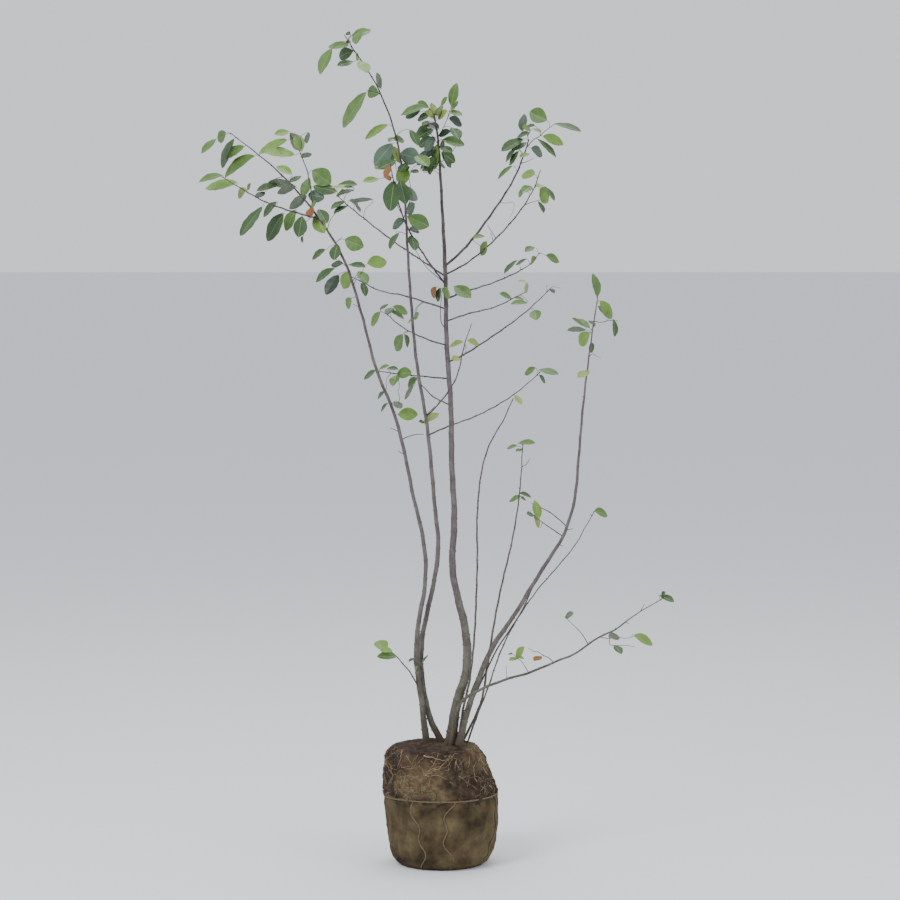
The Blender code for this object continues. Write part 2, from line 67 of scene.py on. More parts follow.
# ---------------------------------------------------------------- the limbs
# Where each limb starts, where it passes (right, back, height above soil), and
# its radius at its start, quarter, half, three quarters and tip.
LIMBS = {
    "trunk": dict(
        foot=(20, -12), radius=(12.2, 8.4, 6.2, 4.8, 2.0), flare=2.5,
        bends=[(35, -9, 90), (59, -5, 178), (57, 0, 267), (40, 0, 342), (26, 0, 416), (30, 0, 545),
               (24, 0, 670), (22, -3, 804), (12, -5, 955), (9, -11, 1113), (0, -19, 1300), (-8, -28, 1430), (-17, -34, 1495)]),
    "stem_left_outer": dict(
        foot=(-37, 2), radius=(7.4, 4.9, 3.8, 3.0, 1.0), flare=1.5,
        bends=[(-48, -7, 100), (-60, -17, 202), (-55, -18, 291), (-42, -14, 362), (-38, -3, 427), (-47, 11, 504),
               (-67, 24, 585), (-89, 47, 692), (-114, 74, 783), (-157, 115, 886), (-196, 169, 1025),
               (-240, 223, 1152), (-315, 270, 1267), (-402, 304, 1362), (-520, 331, 1457)]),
    "stem_left_inner": dict(
        foot=(2, 13), radius=(7.0, 5.3, 3.9, 2.6, 1.0), flare=1.5,
        bends=[(-26, 11, 52), (-48, 10, 162), (-47, 10, 247), (-33, 8, 319), (-16, 3, 400), (-8, -5, 477),
               (-16, -14, 566), (-26, -27, 683), (-35, -40, 767), (-59, -65, 918), (-72, -86, 1067),
               (-80, -105, 1198), (-88, -135, 1343), (-109, -176, 1456), (-150, -213, 1559), (-195, -240, 1630), (-220, -251, 1667)]),
    "stem_right": dict(
        foot=(40, -30), radius=(8.0, 5.6, 3.8, 2.8, 1.0), flare=2.0,
        bends=[(62, -26, 83), (86, -23, 152), (122, -20, 234), (174, -24, 312), (215, -32, 382), (255, -43, 448),
               (286, -54, 500), (312, -70, 585), (322, -94, 699), (330, -122, 813), (344, -151, 945), (360, -182, 1072)]),
    "stem_slender_front": dict(
        foot=(39, -3), radius=(2.9, 2.4, 2.1, 1.8, 1.2), flare=0.5,
        bends=[(52, -22, 89), (66, -35, 153), (77, -57, 257), (82, -88, 372), (84, -108, 462), (83, -128, 547),
               (93, -162, 664), (112, -182, 731), (144, -202, 790), (165, -216, 839)]),
    "stem_slender_back": dict(
        foot=(49, 17), radius=(2.7, 2.6, 2.3, 1.8, 1.0), flare=0.5,
        bends=[(73, 25, 43), (96, 34, 98), (109, 43, 175), (127, 66, 284), (145, 89, 371), (168, 122, 462),
               (183, 151, 541), (192, 181, 617), (197, 203, 700)]),
    "shoot_right": dict(
        foot=(60, -8), radius=(2.1, 1.8, 1.6, 1.4, 0.9), flare=0.4,
        bends=[(82, 0, 58), (111, 16, 130), (142, 30, 217), (176, 48, 282), (228, 81, 354), (278, 122, 406),
               (325, 162, 458), (353, 196, 502), (374, 213, 534)]),
    "bough_low_right": dict(
        foot=(20, -38), radius=(4.0, 3.3, 2.6, 2.0, 0.9), flare=0.8,
        bends=[(34, -47, 82), (55, -54, 114), (97, -64, 140), (153, -93, 167), (205, -123, 187), (263, -158, 217),
               (316, -193, 246), (353, -219, 278), (405, -256, 311), (440, -284, 343), (505, -327, 390)]),
    "shoot_low_left": dict(
        on=("stem_left_outer", 128), radius=(1.9, 1.7, 1.5, 1.3, 0.9),
        bends=[(-73, -35, 171), (-105, -72, 216), (-125, -90, 240)]),
    "bough_left_side": dict(
        on=("stem_left_outer", 1246), radius=(2.1, 1.8, 1.6, 1.3, 0.8),
        bends=[(-353, 216, 1262), (-417, 148, 1285), (-465, 101, 1312), (-525, 54, 1350)]),
    "bough_left_back": dict(
        on=("stem_left_outer", 1267), radius=(1.7, 1.5, 1.3, 1.2, 0.9),
        bends=[(-328, 317, 1351), (-354, 354, 1417), (-376, 378, 1450)]),
    "bough_left_high": dict(
        on=("trunk", 1113), radius=(2.4, 2.0, 1.8, 1.6, 0.9),
        bends=[(-47, 68, 1149), (-119, 142, 1196), (-218, 223, 1271), (-258, 256, 1304)]),
    "bough_left_inner": dict(
        on=("trunk", 1094), radius=(2.3, 2.0, 1.8, 1.6, 1.0),
        bends=[(-39, -81, 1163), (-85, -162, 1246), (-108, -223, 1330), (-116, -255, 1380)]),
    "bough_right_leader": dict(
        on=("trunk", 1138), radius=(3.0, 2.7, 2.4, 2.1, 1.2),
        bends=[(53, 16, 1178), (124, 68, 1268), (176, 115, 1350), (210, 150, 1437)]),
    "bough_right_high": dict(
        on=("trunk", 1118), radius=(2.2, 1.9, 1.7, 1.5, 0.9),
        bends=[(63, -54, 1149), (145, -128, 1224), (204, -189, 1304), (228, -216, 1362)]),
    "bough_right_upper": dict(
        on=("trunk", 1060), radius=(2.1, 1.8, 1.6, 1.4, 0.9),
        bends=[(64, 54, 1078), (132, 128, 1098), (209, 202, 1134), (240, 230, 1165)]),
    "bough_right_upper_front": dict(
        on=("trunk", 1008), radius=(2.0, 1.7, 1.5, 1.3, 0.9),
        bends=[(63, -68, 1028), (128, -142, 1048), (194, -214, 1085)]),
    "bough_right_mid": dict(
        on=("trunk", 910), radius=(2.2, 2.0, 1.7, 1.4, 0.9),
        bends=[(48, 14, 925), (131, 74, 975), (199, 128, 1022), (262, 174, 1078)]),
    "bough_left_upper": dict(
        on=("trunk", 1036), radius=(2.1, 1.9, 1.6, 1.4, 0.9),
        bends=[(-35, 14, 1051), (-91, 43, 1067), (-147, 81, 1077), (-220, 120, 1112)]),
    "bough_left_mid_front": dict(
        on=("trunk", 950), radius=(1.9, 1.7, 1.5, 1.3, 0.9),
        bends=[(-24, -40, 963), (-88, -122, 997), (-128, -176, 1032)]),
    "bough_left_short": dict(
        on=("trunk", 808), radius=(1.8, 1.6, 1.5, 1.3, 0.9),
        bends=[(-20, 14, 828), (-58, 57, 865)]),
    "bough_left_mid": dict(
        on=("trunk", 872), radius=(1.9, 1.7, 1.5, 1.3, 0.9),
        bends=[(-20, 10, 874), (-73, 26, 878), (-150, 42, 886)]),
    "bough_right_low": dict(
        on=("stem_left_inner", 740), radius=(2.0, 1.7, 1.5, 1.3, 0.8),
        bends=[(15, 27, 756), (87, 108, 777), (171, 196, 818), (250, 270, 878)]),
    "bough_centre_front": dict(
        on=("stem_left_inner", 783), radius=(2.0, 1.7, 1.5, 1.3, 0.9),
        bends=[(0, -63, 824), (35, -97, 881), (52, -142, 953), (69, -176, 1010)]),
    "twig_right_stem_upper": dict(
        on=("stem_right", 526), radius=(1.4, 1.3, 1.2, 1.0, 0.7),
        bends=[(263, -24, 551), (232, -4, 567), (214, 6, 574)]),
    "twig_right_stem_lower": dict(
        on=("stem_right", 501), radius=(1.4, 1.3, 1.2, 1.0, 0.7),
        bends=[(253, -34, 523), (226, -2, 538)]),
}
NODES = {"stem_left_outer": ("stem_left_outer_lower", "stem_left_outer_upper")}
THICK = ("trunk", "stem_left_outer", "stem_left_inner", "stem_right", "bough_low_right")


def smooth(stations, step=2.5):
    """A smooth line through the stations at even steps: centripetal Catmull-Rom."""
    p = np.array(stations, float)
    p = np.vstack([2 * p[0] - p[1], p, 2 * p[-1] - p[-2]])
    line = []
    for a, b, c, d in zip(p, p[1:], p[2:], p[3:]):
        tb = math.sqrt(np.linalg.norm(b - a))
        tc = tb + math.sqrt(np.linalg.norm(c - b))
        td = tc + math.sqrt(np.linalg.norm(d - c))
        t = np.linspace(tb, tc, 24, endpoint=False)[:, None]
        ab = ((tb - t) * a + t * b) / tb
        bc = ((tc - t) * b + (t - tb) * c) / (tc - tb)
        cd = ((td - t) * c + (t - tc) * d) / (td - tc)
        abc = ((tc - t) * ab + t * bc) / tc
        bcd = ((td - t) * bc + (t - tb) * cd) / (td - tb)
        line.append(((tc - t) * abc + (t - tb) * bcd) / (tc - tb))
    line = np.vstack(line + [p[-2:-1]])
    along = np.concatenate([[0], np.cumsum(np.linalg.norm(np.diff(line, axis=0), axis=1))])
    even = np.linspace(0, along[-1], max(4, int(along[-1] / step) + 1))
    return np.column_stack([np.interp(even, along, line[:, k]) for k in range(3)]), even


def frames(line):
    """Headings and two sideways directions along a line, without twist."""
    ways = np.gradient(line, axis=0)
    ways /= np.linalg.norm(ways, axis=1)[:, None]
    side = np.cross(ways[0], (0, 1.0, 0) if abs(ways[0][1]) < 0.9 else (1.0, 0, 0))
    sides = []
    for h in ways:
        side = side - h * np.dot(side, h)
        side = side / np.linalg.norm(side)
        sides.append(side)
    sides = np.array(sides)
    return ways, sides, np.cross(ways, sides)


class Kit:
    """Collects vertices and faces, in mm, of many small shapes for one piece."""

    def __init__(self):
        self.verts, self.faces, self.slots, self.count = [], [], [], 0

    def add(self, verts, faces, slot=0):
        faces = [np.asarray(f) for f in faces] if isinstance(faces, list) else [np.asarray(faces)]
        self.verts.append(np.asarray(verts, float))
        for f in faces:
            if len(f):
                self.faces.append(f + self.count)
                self.slots.append(np.broadcast_to(np.asarray(slot), (len(f),)))
        self.count += len(verts)

    def tube(self, line, radius, sides=6, slot=0, relief=None):
        line = np.asarray(line, float)
        ways, u, v = frames(line)
        turn = np.arange(sides) * 2 * math.pi / sides
        r = np.broadcast_to(np.asarray(radius, float), (len(line),))[:, None]
        if relief is not None:
            r = r + relief
        ring = (line[:, None, :] + (r * np.cos(turn))[..., None] * u[:, None, :]
                + (r * np.sin(turn))[..., None] * v[:, None, :])
        verts = np.vstack([ring.reshape(-1, 3), line[:1] - ways[:1] * r[0].mean() * 0.4, line[-1:] + ways[-1:] * r[-1].mean() * 0.8])
        n, m = len(line), sides
        i, j = np.meshgrid(np.arange(n - 1), np.arange(m), indexing="ij")
        a, b = (i * m + j).ravel(), (i * m + (j + 1) % m).ravel()
        quads = np.column_stack([a, b, b + m, a + m])
        k = np.arange(m)
        low = np.column_stack([np.full(m, n * m), (k + 1) % m, k])
        high = np.column_stack([np.full(m, n * m + 1), (n - 1) * m + k, (n - 1) * m + (k + 1) % m])
        self.add(verts, [quads, low, high], slot)

    def piece(self, name, materials, sharp=None):
        verts = np.vstack(self.verts) * 0.001
        faces = [tuple(int(c) for c in f) for block in self.faces for f in block]
        mesh = bpy.data.meshes.new(name)
        mesh.from_pydata([tuple(v) for v in verts.tolist()], [], faces)
        for material in materials:
            mesh.materials.append(material)
        mesh.polygons.foreach_set("material_index", np.concatenate(self.slots).astype(np.int32))
        mesh.shade_smooth()
        if sharp:
            mesh.set_sharp_from_angle(angle=math.radians(sharp))
        mesh.update()
        piece = bpy.data.objects.new(name, mesh)
        bpy.context.scene.collection.objects.link(piece)
        return piece


# -------------------------------------------------------------- materials
def shader(name, rough=0.7, specular=0.5):
    material = bpy.data.materials.new(name)
    material.use_nodes = True
    tree = material.node_tree
    bsdf = tree.nodes["Principled BSDF"]
    bsdf.inputs["Roughness"].default_value = rough
    bsdf.inputs["Specular IOR Level"].default_value = specular
    return material, tree, bsdf


def noise(tree, scale, detail=4.0, rough=0.6, stretch=(1, 1, 1)):
    where = tree.nodes.new("ShaderNodeTexCoord")
    mapping = tree.nodes.new("ShaderNodeMapping")
    mapping.inputs["Scale"].default_value = stretch
    tree.links.new(where.outputs["Object"], mapping.inputs["Vector"])
    node = tree.nodes.new("ShaderNodeTexNoise")
    node.inputs["Scale"].default_value = scale
    node.inputs["Detail"].default_value = detail
    node.inputs["Roughness"].default_value = rough
    tree.links.new(mapping.outputs["Vector"], node.inputs["Vector"])
    return node.outputs["Fac"]


def ramp(tree, fac, stops):
    node = tree.nodes.new("ShaderNodeValToRGB")
    band = node.color_ramp
    while len(band.elements) < len(stops):
        band.elements.new(0.5)
    for element, (place, colour) in zip(band.elements, stops):
        element.position = place
        element.color = (*colour, 1)
    tree.links.new(fac, node.inputs["Fac"])
    return node.outputs["Color"]


def mix(tree, fac, a, b, blend="MIX"):
    node = tree.nodes.new("ShaderNodeMix")
    node.data_type = "RGBA"
    node.blend_type = blend
    for value, socket in ((fac, node.inputs["Factor"]), (a, node.inputs["A"]), (b, node.inputs["B"])):
        if isinstance(value, (int, float)):
            socket.default_value = value
        elif isinstance(value, tuple):
            socket.default_value = (*value, 1)
        else:
            tree.links.new(value, socket)
    return node.outputs["Result"]


def bump(tree, bsdf, fac, strength, distance):
    node = tree.nodes.new("ShaderNodeBump")
    node.inputs["Strength"].default_value = strength
    node.inputs["Distance"].default_value = distance
    tree.links.new(fac, node.inputs["Height"])
    tree.links.new(node.outputs["Normal"], bsdf.inputs["Normal"])


def height_band(tree, low, high):
    """0 below low and 1 above high, in metres."""
    where = tree.nodes.new("ShaderNodeTexCoord")
    split = tree.nodes.new("ShaderNodeSeparateXYZ")
    tree.links.new(where.outputs["Object"], split.inputs["Vector"])
    span = tree.nodes.new("ShaderNodeMapRange")
    span.inputs["From Min"].default_value = low
    span.inputs["From Max"].default_value = high
    tree.links.new(split.outputs["Z"], span.inputs["Value"])
    return span.outputs["Result"]


def bark_finish(name, low, middle, dark, earth):
    material, tree, bsdf = shader(name, 0.72, 0.35)
    grain = noise(tree, 260, 5, 0.65, (1, 1, 0.25))
    blotch = noise(tree, 38, 3, 0.6)
    lower = ramp(tree, grain, [(0.30, tuple(c * 0.55 for c in low)), (0.52, low), (0.75, tuple(min(1, c * 1.5) for c in low))])
    upper = ramp(tree, grain, [(0.30, tuple(c * 0.6 for c in middle)), (0.52, middle), (0.75, tuple(min(1, c * 1.4) for c in middle))])
    colour = mix(tree, height_band(tree, 0.42, 0.72), lower, upper)
    colour = mix(tree, height_band(tree, 1.15, 1.65), colour, mix(tree, blotch, dark, tuple(c * 1.5 for c in dark)))
    spots = ramp(tree, blotch, [(0.45, (0, 0, 0)), (0.62, (1, 1, 1))])
    colour = mix(tree, spots, colour, mix(tree, 0.18, colour, (0.30, 0.28, 0.25)))
    near = ramp(tree, height_band(tree, 0.37, 0.29), [(0.0, (0, 0, 0)), (1.0, (1, 1, 1))])
    colour = mix(tree, near, colour, earth)
    tree.links.new(colour, bsdf.inputs["Base Color"])
    bump(tree, bsdf, grain, 0.5, 0.0006)
    return material


def leaf_finish(name, colour, rough=0.48, specular=0.45):
    material, tree, bsdf = shader(name, rough, specular)
    blotch = noise(tree, 55, 3, 0.55)
    fine = noise(tree, 420, 3, 0.6)
    base = ramp(tree, blotch, [(0.28, tuple(c * 0.74 for c in colour)), (0.5, colour), (0.74, tuple(min(1, c * 1.25) for c in colour))])
    tree.links.new(mix(tree, 0.25, base, ramp(tree, fine, [(0.35, tuple(c * 0.6 for c in colour)), (0.65, tuple(min(1, c * 1.3) for c in colour))])), bsdf.inputs["Base Color"])
    bump(tree, bsdf, fine, 0.25, 0.0004)
    return material


bark = bark_finish("bark", (0.082, 0.074, 0.050), (0.098, 0.078, 0.080), (0.034, 0.020, 0.022), (0.060, 0.042, 0.028))
young_bark = bark_finish("young_bark", (0.080, 0.062, 0.045), (0.060, 0.043, 0.046), (0.034, 0.021, 0.026), (0.055, 0.040, 0.028))
twig_bark = bark_finish("twig_bark", (0.060, 0.045, 0.032), (0.042, 0.028, 0.032), (0.030, 0.018, 0.023), (0.055, 0.040, 0.028))
TONES = {
    # b, m, d and v are one leaf green painted at four levels of light: b lit, m half lit, d in painted shade and v in
    # painted deep shadow; y, g, t and o are leaf colours of their own
    "b": leaf_finish("leaf_painted_lit", (0.130, 0.245, 0.032)),
    "m": leaf_finish("leaf_mid", (0.078, 0.160, 0.030)),
    "d": leaf_finish("leaf_painted_shade", (0.038, 0.085, 0.022)),
    "v": leaf_finish("leaf_painted_deep_shadow", (0.018, 0.034, 0.016)),
    "y": leaf_finish("leaf_yellow_green", (0.230, 0.300, 0.060)),
    "g": leaf_finish("leaf_gray", (0.130, 0.165, 0.115), 0.65, 0.3),
    "t": leaf_finish("leaf_teal", (0.075, 0.125, 0.085), 0.6, 0.35),
    "o": leaf_finish("leaf_turned", (0.200, 0.085, 0.030), 0.7, 0.3),
}
TONE_LIST = list(TONES)
under = leaf_finish("leaf_under", (0.150, 0.190, 0.120), 0.7, 0.25)
rib = leaf_finish("leaf_rib", (0.230, 0.270, 0.120), 0.6, 0.3)

# ------------------------------------------------------ build the limbs
rng = np.random.RandomState(7324)
lines = {}        # name: (line in mm above the underside, along, radius)


def add_line(name, line, along, radius):
    lines[name] = (line, along, radius, seen(line))


limb_kits = {}
for order, (name, spec) in enumerate(LIMBS.items()):
    draw = np.random.RandomState(100 + order)
    if "foot" in spec:
        start = np.array((*spec["foot"], -3.0))
    else:
        parent, _, _, _ = lines[spec["on"][0]]
        k = int(np.argmin(np.abs(parent[:, 2] - SOIL - spec["on"][1])))
        start = parent[k] - (0, 0, SOIL)
    line, along = smooth([start] + spec["bends"], 2.2 if name in THICK else 2.6)
    line = line + (0, 0, SOIL)
    share = along / along[-1]
    radius = np.interp(share, (0, 0.25, 0.5, 0.75, 1), spec["radius"]) + spec.get("flare", 0) * np.exp(-along / 35.0)
    # a slight zigzag from bud to bud, nodes with a swelling and a bud scar
    gap = 34.0 if name in THICK else 24.0
    buds = np.arange(gap * draw.uniform(0.6, 1.4), along[-1] - 6, gap)
    buds = buds + draw.uniform(-0.25, 0.25, len(buds)) * gap
    ways, u, v = frames(line)
    zig = np.interp(along, buds, np.where(np.arange(len(buds)) % 2, 1.0, -1.0)) if len(buds) > 1 else np.zeros(len(along))
    fade = np.clip(along / 60, 0, 1) * (0.55 if "foot" in spec else 0.7)
    line = line + (zig * fade)[:, None] * u
    add_line(name, line, along, radius)
    sides = 22 if name in THICK else 12
    turn = np.arange(sides) * 2 * math.pi / sides
    relief = np.zeros((len(along), sides))
    for f, m, size in ((0.045, 2, 0.045), (0.11, 3, 0.035), (0.31, 5, 0.025), (0.8, 7, 0.02), (1.5, 9, 0.018)):
        relief += size * np.sin(f * along[:, None] + m * turn[None, :] + draw.uniform(0, 6.3)) * np.sin(0.37 * f * along[:, None] + draw.uniform(0, 6.3))
    relief *= radius[:, None]
    relief += draw.normal(0, 0.018, relief.shape) * np.minimum(radius, 5)[:, None]
    for n, s in enumerate(buds):
        near = np.exp(-((along - s) / 1.7) ** 2)[:, None]
        facing = np.cos(turn[None, :] - (n % 2) * math.pi - draw.uniform(-0.5, 0.5))
        relief += near * radius[:, None] * (0.10 + 0.16 * np.clip(facing, 0, 1) ** 2)
        relief -= np.exp(-((along - s - 3.2) / 1.0) ** 2)[:, None] * radius[:, None] * 0.05
    if name in ("trunk", "stem_left_outer", "stem_left_inner", "stem_right"):
        foot = np.exp(-along / 26.0)[:, None]
        relief += foot * radius[:, None] * 0.22 * np.cos(3 * turn[None, :] + draw.uniform(0, 6)) * (1 + 0.4 * np.cos(5 * turn[None, :]))
    kit = limb_kits[name] = Kit()
    kit.tube(line, radius, sides, 0, relief)
    # buds and spurs
    for n, s in enumerate(buds):
        if draw.rand() > (0.55 if name in THICK else 0.8):
            continue
        k = int(np.argmin(np.abs(along - s)))
        a = (n % 2) * math.pi + draw.uniform(-0.9, 0.9)
        out = math.cos(a) * u[k] + math.sin(a) * v[k]
        size = draw.uniform(2.2, 4.2) if radius[k] > 1.4 else draw.uniform(1.6, 2.6)
        base = line[k] + out * radius[k] * 0.7
        way = out * 0.75 + ways[k] * 0.8
        path = [base + way * size * t for t in (0, 0.3, 0.6, 0.85, 1.0)]
        kit.tube(path, [0.75, 1.0, 0.8, 0.45, 0.12], 6, 0)

# ------------------------------------------------------------ the twigs
# carrier, the pixels a twig passes, radius at its start and tip, and how far
# it goes back (or, below zero, forward) by its tip, in mm.
TWIGS = [
    ("trunk", [(438, 150), (443, 140), (446, 133), (448, 128)], 1.2, 0.7, -18),
    ("trunk", [(443, 357), (441, 350), (440, 345), (440, 330), (441, 322), (442, 313)], 1.2, 0.6, -40),
    ("trunk", [(437, 308), (425, 290), (418, 280), (411, 268)], 1.1, 0.6, 55),
    ("trunk", [(441, 166), (432, 160), (424, 156)], 1.0, 0.6, 30),
    ("trunk", [(440, 178), (449, 170), (456, 160), (459, 150)], 1.0, 0.6, 38),
    ("trunk", [(438, 158), (431, 149), (424, 140)], 1.0, 0.6, -34),
    ("stem_left_outer", [(398, 475), (402, 473), (408, 471), (414, 469.5), (421, 469.5)], 1.4, 0.8, 60),
    ("stem_left_outer", [(320, 249), (322, 238), (327, 232)], 1.0, 0.6, -22),
    ("stem_left_outer", [(351, 333), (347, 330)], 0.9, 0.6, -6),
    ("stem_left_outer", [(344, 306), (350, 298)], 0.9, 0.6, 8),
    ("stem_left_outer", [(330, 262), (333, 258)], 0.9, 0.6, -8),
    ("stem_left_outer", [(393, 467), (387, 463)], 1.2, 0.7, -8),
    ("stem_left_outer", [(401, 492), (395, 488)], 1.2, 0.7, -6),
    ("stem_left_outer", [(385, 433), (394, 441), (395, 434), (396, 430), (394, 424), (396, 418), (395, 413)], 0.9, 0.5, -30),
    ("stem_left_outer", [(340, 291), (333, 284), (327, 281)], 0.9, 0.6, 20),
    ("stem_left_outer", [(345, 310), (349, 303), (354, 297)], 0.9, 0.6, -22),
    ("stem_left_inner", [(349, 60), (345, 56), (343, 50)], 1.0, 0.7, -10),
    ("stem_left_inner", [(375, 104), (369, 102), (362, 100)], 0.9, 0.6, -14),
    ("stem_left_inner", [(403, 255), (397, 252), (392, 252)], 0.8, 0.5, 20),
    ("stem_left_inner", [(423, 450), (427, 446), (433, 440)], 1.0, 0.6, -26),
    ("bough_left_inner", [(398, 235), (393, 222), (391, 205), (393, 190), (391, 178)], 1.0, 0.6, -26),
    ("bough_left_inner", [(399, 238), (404, 226), (408, 214), (407, 200), (405, 190)], 1.0, 0.6, 34),
    ("bough_right_leader", [(534, 163), (534, 154), (533, 147)], 1.2, 0.7, -22),
    ("bough_right_leader", [(536, 162), (541, 152), (545, 150), (553, 143), (563, 136)], 1.2, 0.6, 30),
    ("bough_right_leader", [(528, 179), (534, 176), (539, 173)], 1.0, 0.6, 16),
    ("bough_right_leader", [(531, 170), (524, 163), (519, 158)], 1.0, 0.6, 28),
    ("bough_right_leader", [(504, 221), (512, 221), (518, 220), (519, 223), (518, 229), (515, 235)], 0.7, 0.4, -26),
    ("bough_right_high", [(530, 223), (538, 220), (545, 218)], 1.0, 0.6, -16),
    ("bough_right_high", [(495, 260), (494, 254)], 0.9, 0.6, -8),
    ("bough_right_high", [(490, 250), (491, 246)], 0.9, 0.6, 4),
    ("bough_right_mid", [(553, 320), (554, 316), (554, 310)], 0.8, 0.5, 8),
    ("bough_right_mid", [(554, 314), (560, 311), (568, 312)], 0.8, 0.4, -14),
    ("stem_slender_back", [(529, 505), (532.7, 501), (535.3, 496)], 1.0, 0.6, 12),
    ("stem_slender_back", [(526.5, 538), (524, 536)], 0.8, 0.5, -8),
    ("stem_right", [(606, 348), (612, 349), (622, 347), (629, 347)], 1.0, 0.6, -34),
    ("stem_right", [(600, 387), (603, 383), (607, 385), (611, 387)], 0.8, 0.4, 18),
    ("stem_right", [(469, 768), (476, 752), (484, 735), (501, 700), (513, 682), (528, 658), (538, 636)], 2.3, 1.5, 26),
    ("stem_right", [(568, 589), (570.6, 589.4)], 0.9, 0.7, -4),
    ("stem_right", [(575.3, 572.8), (580.9, 571.3)], 1.2, 0.8, 6),
    ("stem_right", [(556, 612), (552, 613)], 1.2, 0.8, -6),
    ("twig_right_stem_lower", [(553, 568), (549.6, 565), (547.6, 569)], 0.8, 0.5, -8),
    ("bough_low_right", [(511.5, 732.8), (511, 726), (510.3, 720)], 0.9, 0.5, -8),
    ("bough_low_right", [(534.6, 725), (530.8, 719.4), (527, 714), (522.4, 710.4)], 1.1, 0.6, -26),
    ("bough_low_right", [(561.5, 715), (557, 710.4), (550, 707), (545, 703.6), (541, 703.3), (534.6, 699.7)], 1.2, 0.6, 38),
    ("bough_low_right", [(598, 695.4), (595, 689), (589.7, 681.5), (582, 674), (576.3, 668)], 1.2, 0.6, 42),
    ("bough_low_right", [(612, 689), (620, 689), (632.7, 688), (637.8, 689), (648, 687)], 1.0, 0.5, -30),
    ("bough_low_right", [(622.4, 683), (621.8, 690), (621.8, 695.6), (630.8, 696.5), (639.7, 696.7), (648, 698)], 1.0, 0.5, 34),
    ("bough_low_right", [(639, 672), (641.7, 672.8)], 0.9, 0.7, 4),
    ("bough_low_right", [(655, 660), (658.7, 653)], 0.9, 0.6, -5),
    ("stem_left_outer", [(409.4, 733.3), (415.3, 728.5), (420.4, 716)], 0.8, 0.5, 20),
    ("stem_left_outer", [(413, 716), (409, 712), (406, 714)], 0.8, 0.5, -16),
    ("shoot_right", [(602.3, 557.7), (601.5, 555.4)], 0.8, 0.6, -4),
]

twigs = Kit()
for number, (carrier, pixels, r0, r1, back) in enumerate(TWIGS):
    line, along, radius, flat = lines[carrier]
    k = int(np.argmin(np.linalg.norm(flat - pixels[0], axis=1)))
    depth = line[k][1]
    spots = [line[k]]
    run = np.concatenate([[0], np.cumsum(np.linalg.norm(np.diff(np.array(pixels, float), axis=0), axis=1))])
    for (u, v), s in list(zip(pixels, run))[1:]:
        spots.append(sight(u, v, depth + back * s / run[-1]))
    if np.linalg.norm(spots[1] - spots[0]) < 3 and len(spots) > 2:
        spots.pop(1)
    path, length = smooth(spots, 2.5)
    r = np.interp(length / length[-1], (0, 1), (r0, r1))
    draw = np.random.RandomState(500 + number)
    wave = 1 + 0.12 * np.sin(length * 0.9 + draw.uniform(0, 6)) * np.sin(length * 0.23 + draw.uniform(0, 6))
    twigs.tube(path, r * wave, 7, 0)
    tip = path[-1] - path[-2]
    tip /= np.linalg.norm(tip)
    twigs.tube([path[-1] + tip * t for t in (0, 1.0, 2.2, 3.4)], [r1, r1 * 1.35, r1 * 0.9, 0.12], 6, 0)
    add_line("twig_%d" % number, path, length, r)
    lines.setdefault("twigs of " + carrier, []).append("twig_%d" % number)
